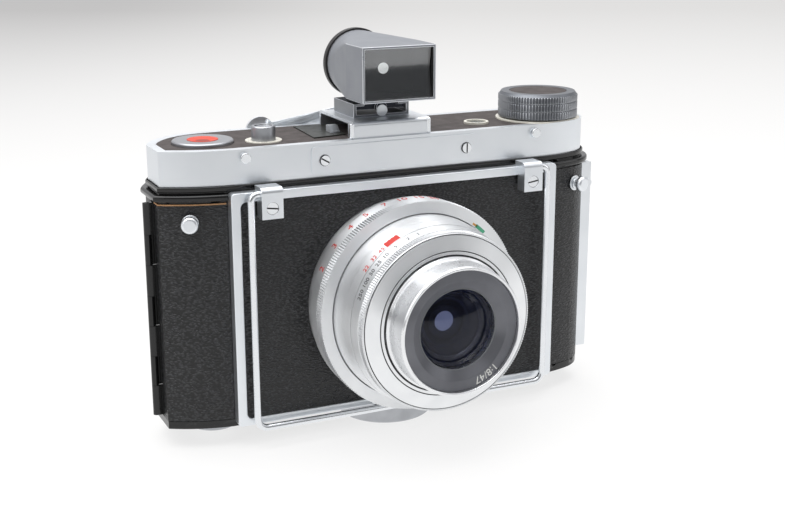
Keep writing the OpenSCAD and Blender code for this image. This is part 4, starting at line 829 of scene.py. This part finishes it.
# The room that the chrome mirrors: pale behind the object and above it, darker on the viewer's side
world = bpy.data.worlds.new("studio")
bpy.context.scene.world = world
world.use_nodes = True
room = {"behind": "#d8d8da", "front": "#77787a", "above": "#ededef", "strength": 1.0}
tree = world.node_tree
facing = addNode(tree, "SeparateXYZ", {"Vector": addNode(tree, "TexCoord").outputs["Generated"]})
turnedTo = addNode(tree, "MapRange", {"Value": facing.outputs["Y"], "From Min": -0.6, "From Max": 0.6,
                                      "To Min": 0.0, "To Max": 1.0}, interpolation_type="SMOOTHSTEP")
walls = addNode(tree, "Mix", {0: turnedTo.outputs["Result"], 6: linear(room["front"]),
                              7: linear(room["behind"])}, data_type="RGBA")
raised = addNode(tree, "MapRange", {"Value": facing.outputs["Z"], "From Min": 0.3, "From Max": 0.8,
                                    "To Min": 0.0, "To Max": 1.0}, interpolation_type="SMOOTHSTEP")
ceiling = addNode(tree, "Mix", {0: raised.outputs["Result"], 6: walls.outputs[2],
                                7: linear(room["above"])}, data_type="RGBA")
tree.links.new(ceiling.outputs[2], tree.nodes["Background"].inputs["Color"])
tree.nodes["Background"].inputs["Strength"].default_value = room["strength"]

# Three soft boxes; level is a box's radiance, so its size doesn't change how bright it looks
lamps = {
    "topBox": {"at": (-0.1, 0.15, 1.1), "aim": (0, 0, 0.05), "size": (1.6, 1.3), "level": 2.4},
    "leftBox": {"at": (-1.2, -0.5, 0.7), "aim": (0, 0, 0.05), "size": (0.9, 0.9), "level": 1.4},
    "rightBox": {"at": (1.2, -0.7, 0.6), "aim": (0, 0, 0.05), "size": (0.8, 0.8), "level": 1.3},
}
for name, lamp in lamps.items():
    light = bpy.data.lights.new(name, "AREA")
    light.shape = "RECTANGLE"
    light.size, light.size_y = lamp["size"]
    light.energy = lamp["level"] * math.pi * light.size * light.size_y
    shown = bpy.data.objects.new(name, light)
    shown.location = lamp["at"]
    shown.rotation_euler = (Vector(lamp["aim"]) - Vector(lamp["at"])).to_track_quat("-Z", "Y").to_euler()
    bpy.context.scene.collection.objects.link(shown)
print("stage and lamps ready")

# The photograph's viewpoint, in degrees and millimetres; the focal length is in pixels of its width
viewpoint = {"azimuth": 24.72, "elevation": 15.51, "roll": -0.137, "at": (-187.5, -414.6, 181.0),
             "focal": 1331.6, "width": 785, "sensor": 36}
az, el, roll = (math.radians(viewpoint[k]) for k in ("azimuth", "elevation", "roll"))
ahead = Vector((math.sin(az) * math.cos(el), math.cos(az) * math.cos(el), -math.sin(el)))
right = Vector((math.cos(az), -math.sin(az), 0))
up = right.cross(ahead)
rolledRight = math.cos(roll) * right + math.sin(roll) * up
rolledUp = math.cos(roll) * up - math.sin(roll) * right
cameraData = bpy.data.cameras.new("viewpoint")
cameraData.sensor_width = viewpoint["sensor"]
cameraData.lens = viewpoint["focal"] * viewpoint["sensor"] / viewpoint["width"]
cameraData.clip_start = 0.01
viewer = bpy.data.objects.new("viewpoint", cameraData)
turned = Matrix((rolledRight, rolledUp, -ahead)).transposed().to_4x4()
viewer.matrix_world = Matrix.Translation(Vector(viewpoint["at"]) * mm) @ turned
bpy.context.scene.collection.objects.link(viewer)
bpy.context.scene.camera = viewer
bpy.context.scene.view_settings.view_transform = "Standard"

print("scene ready")
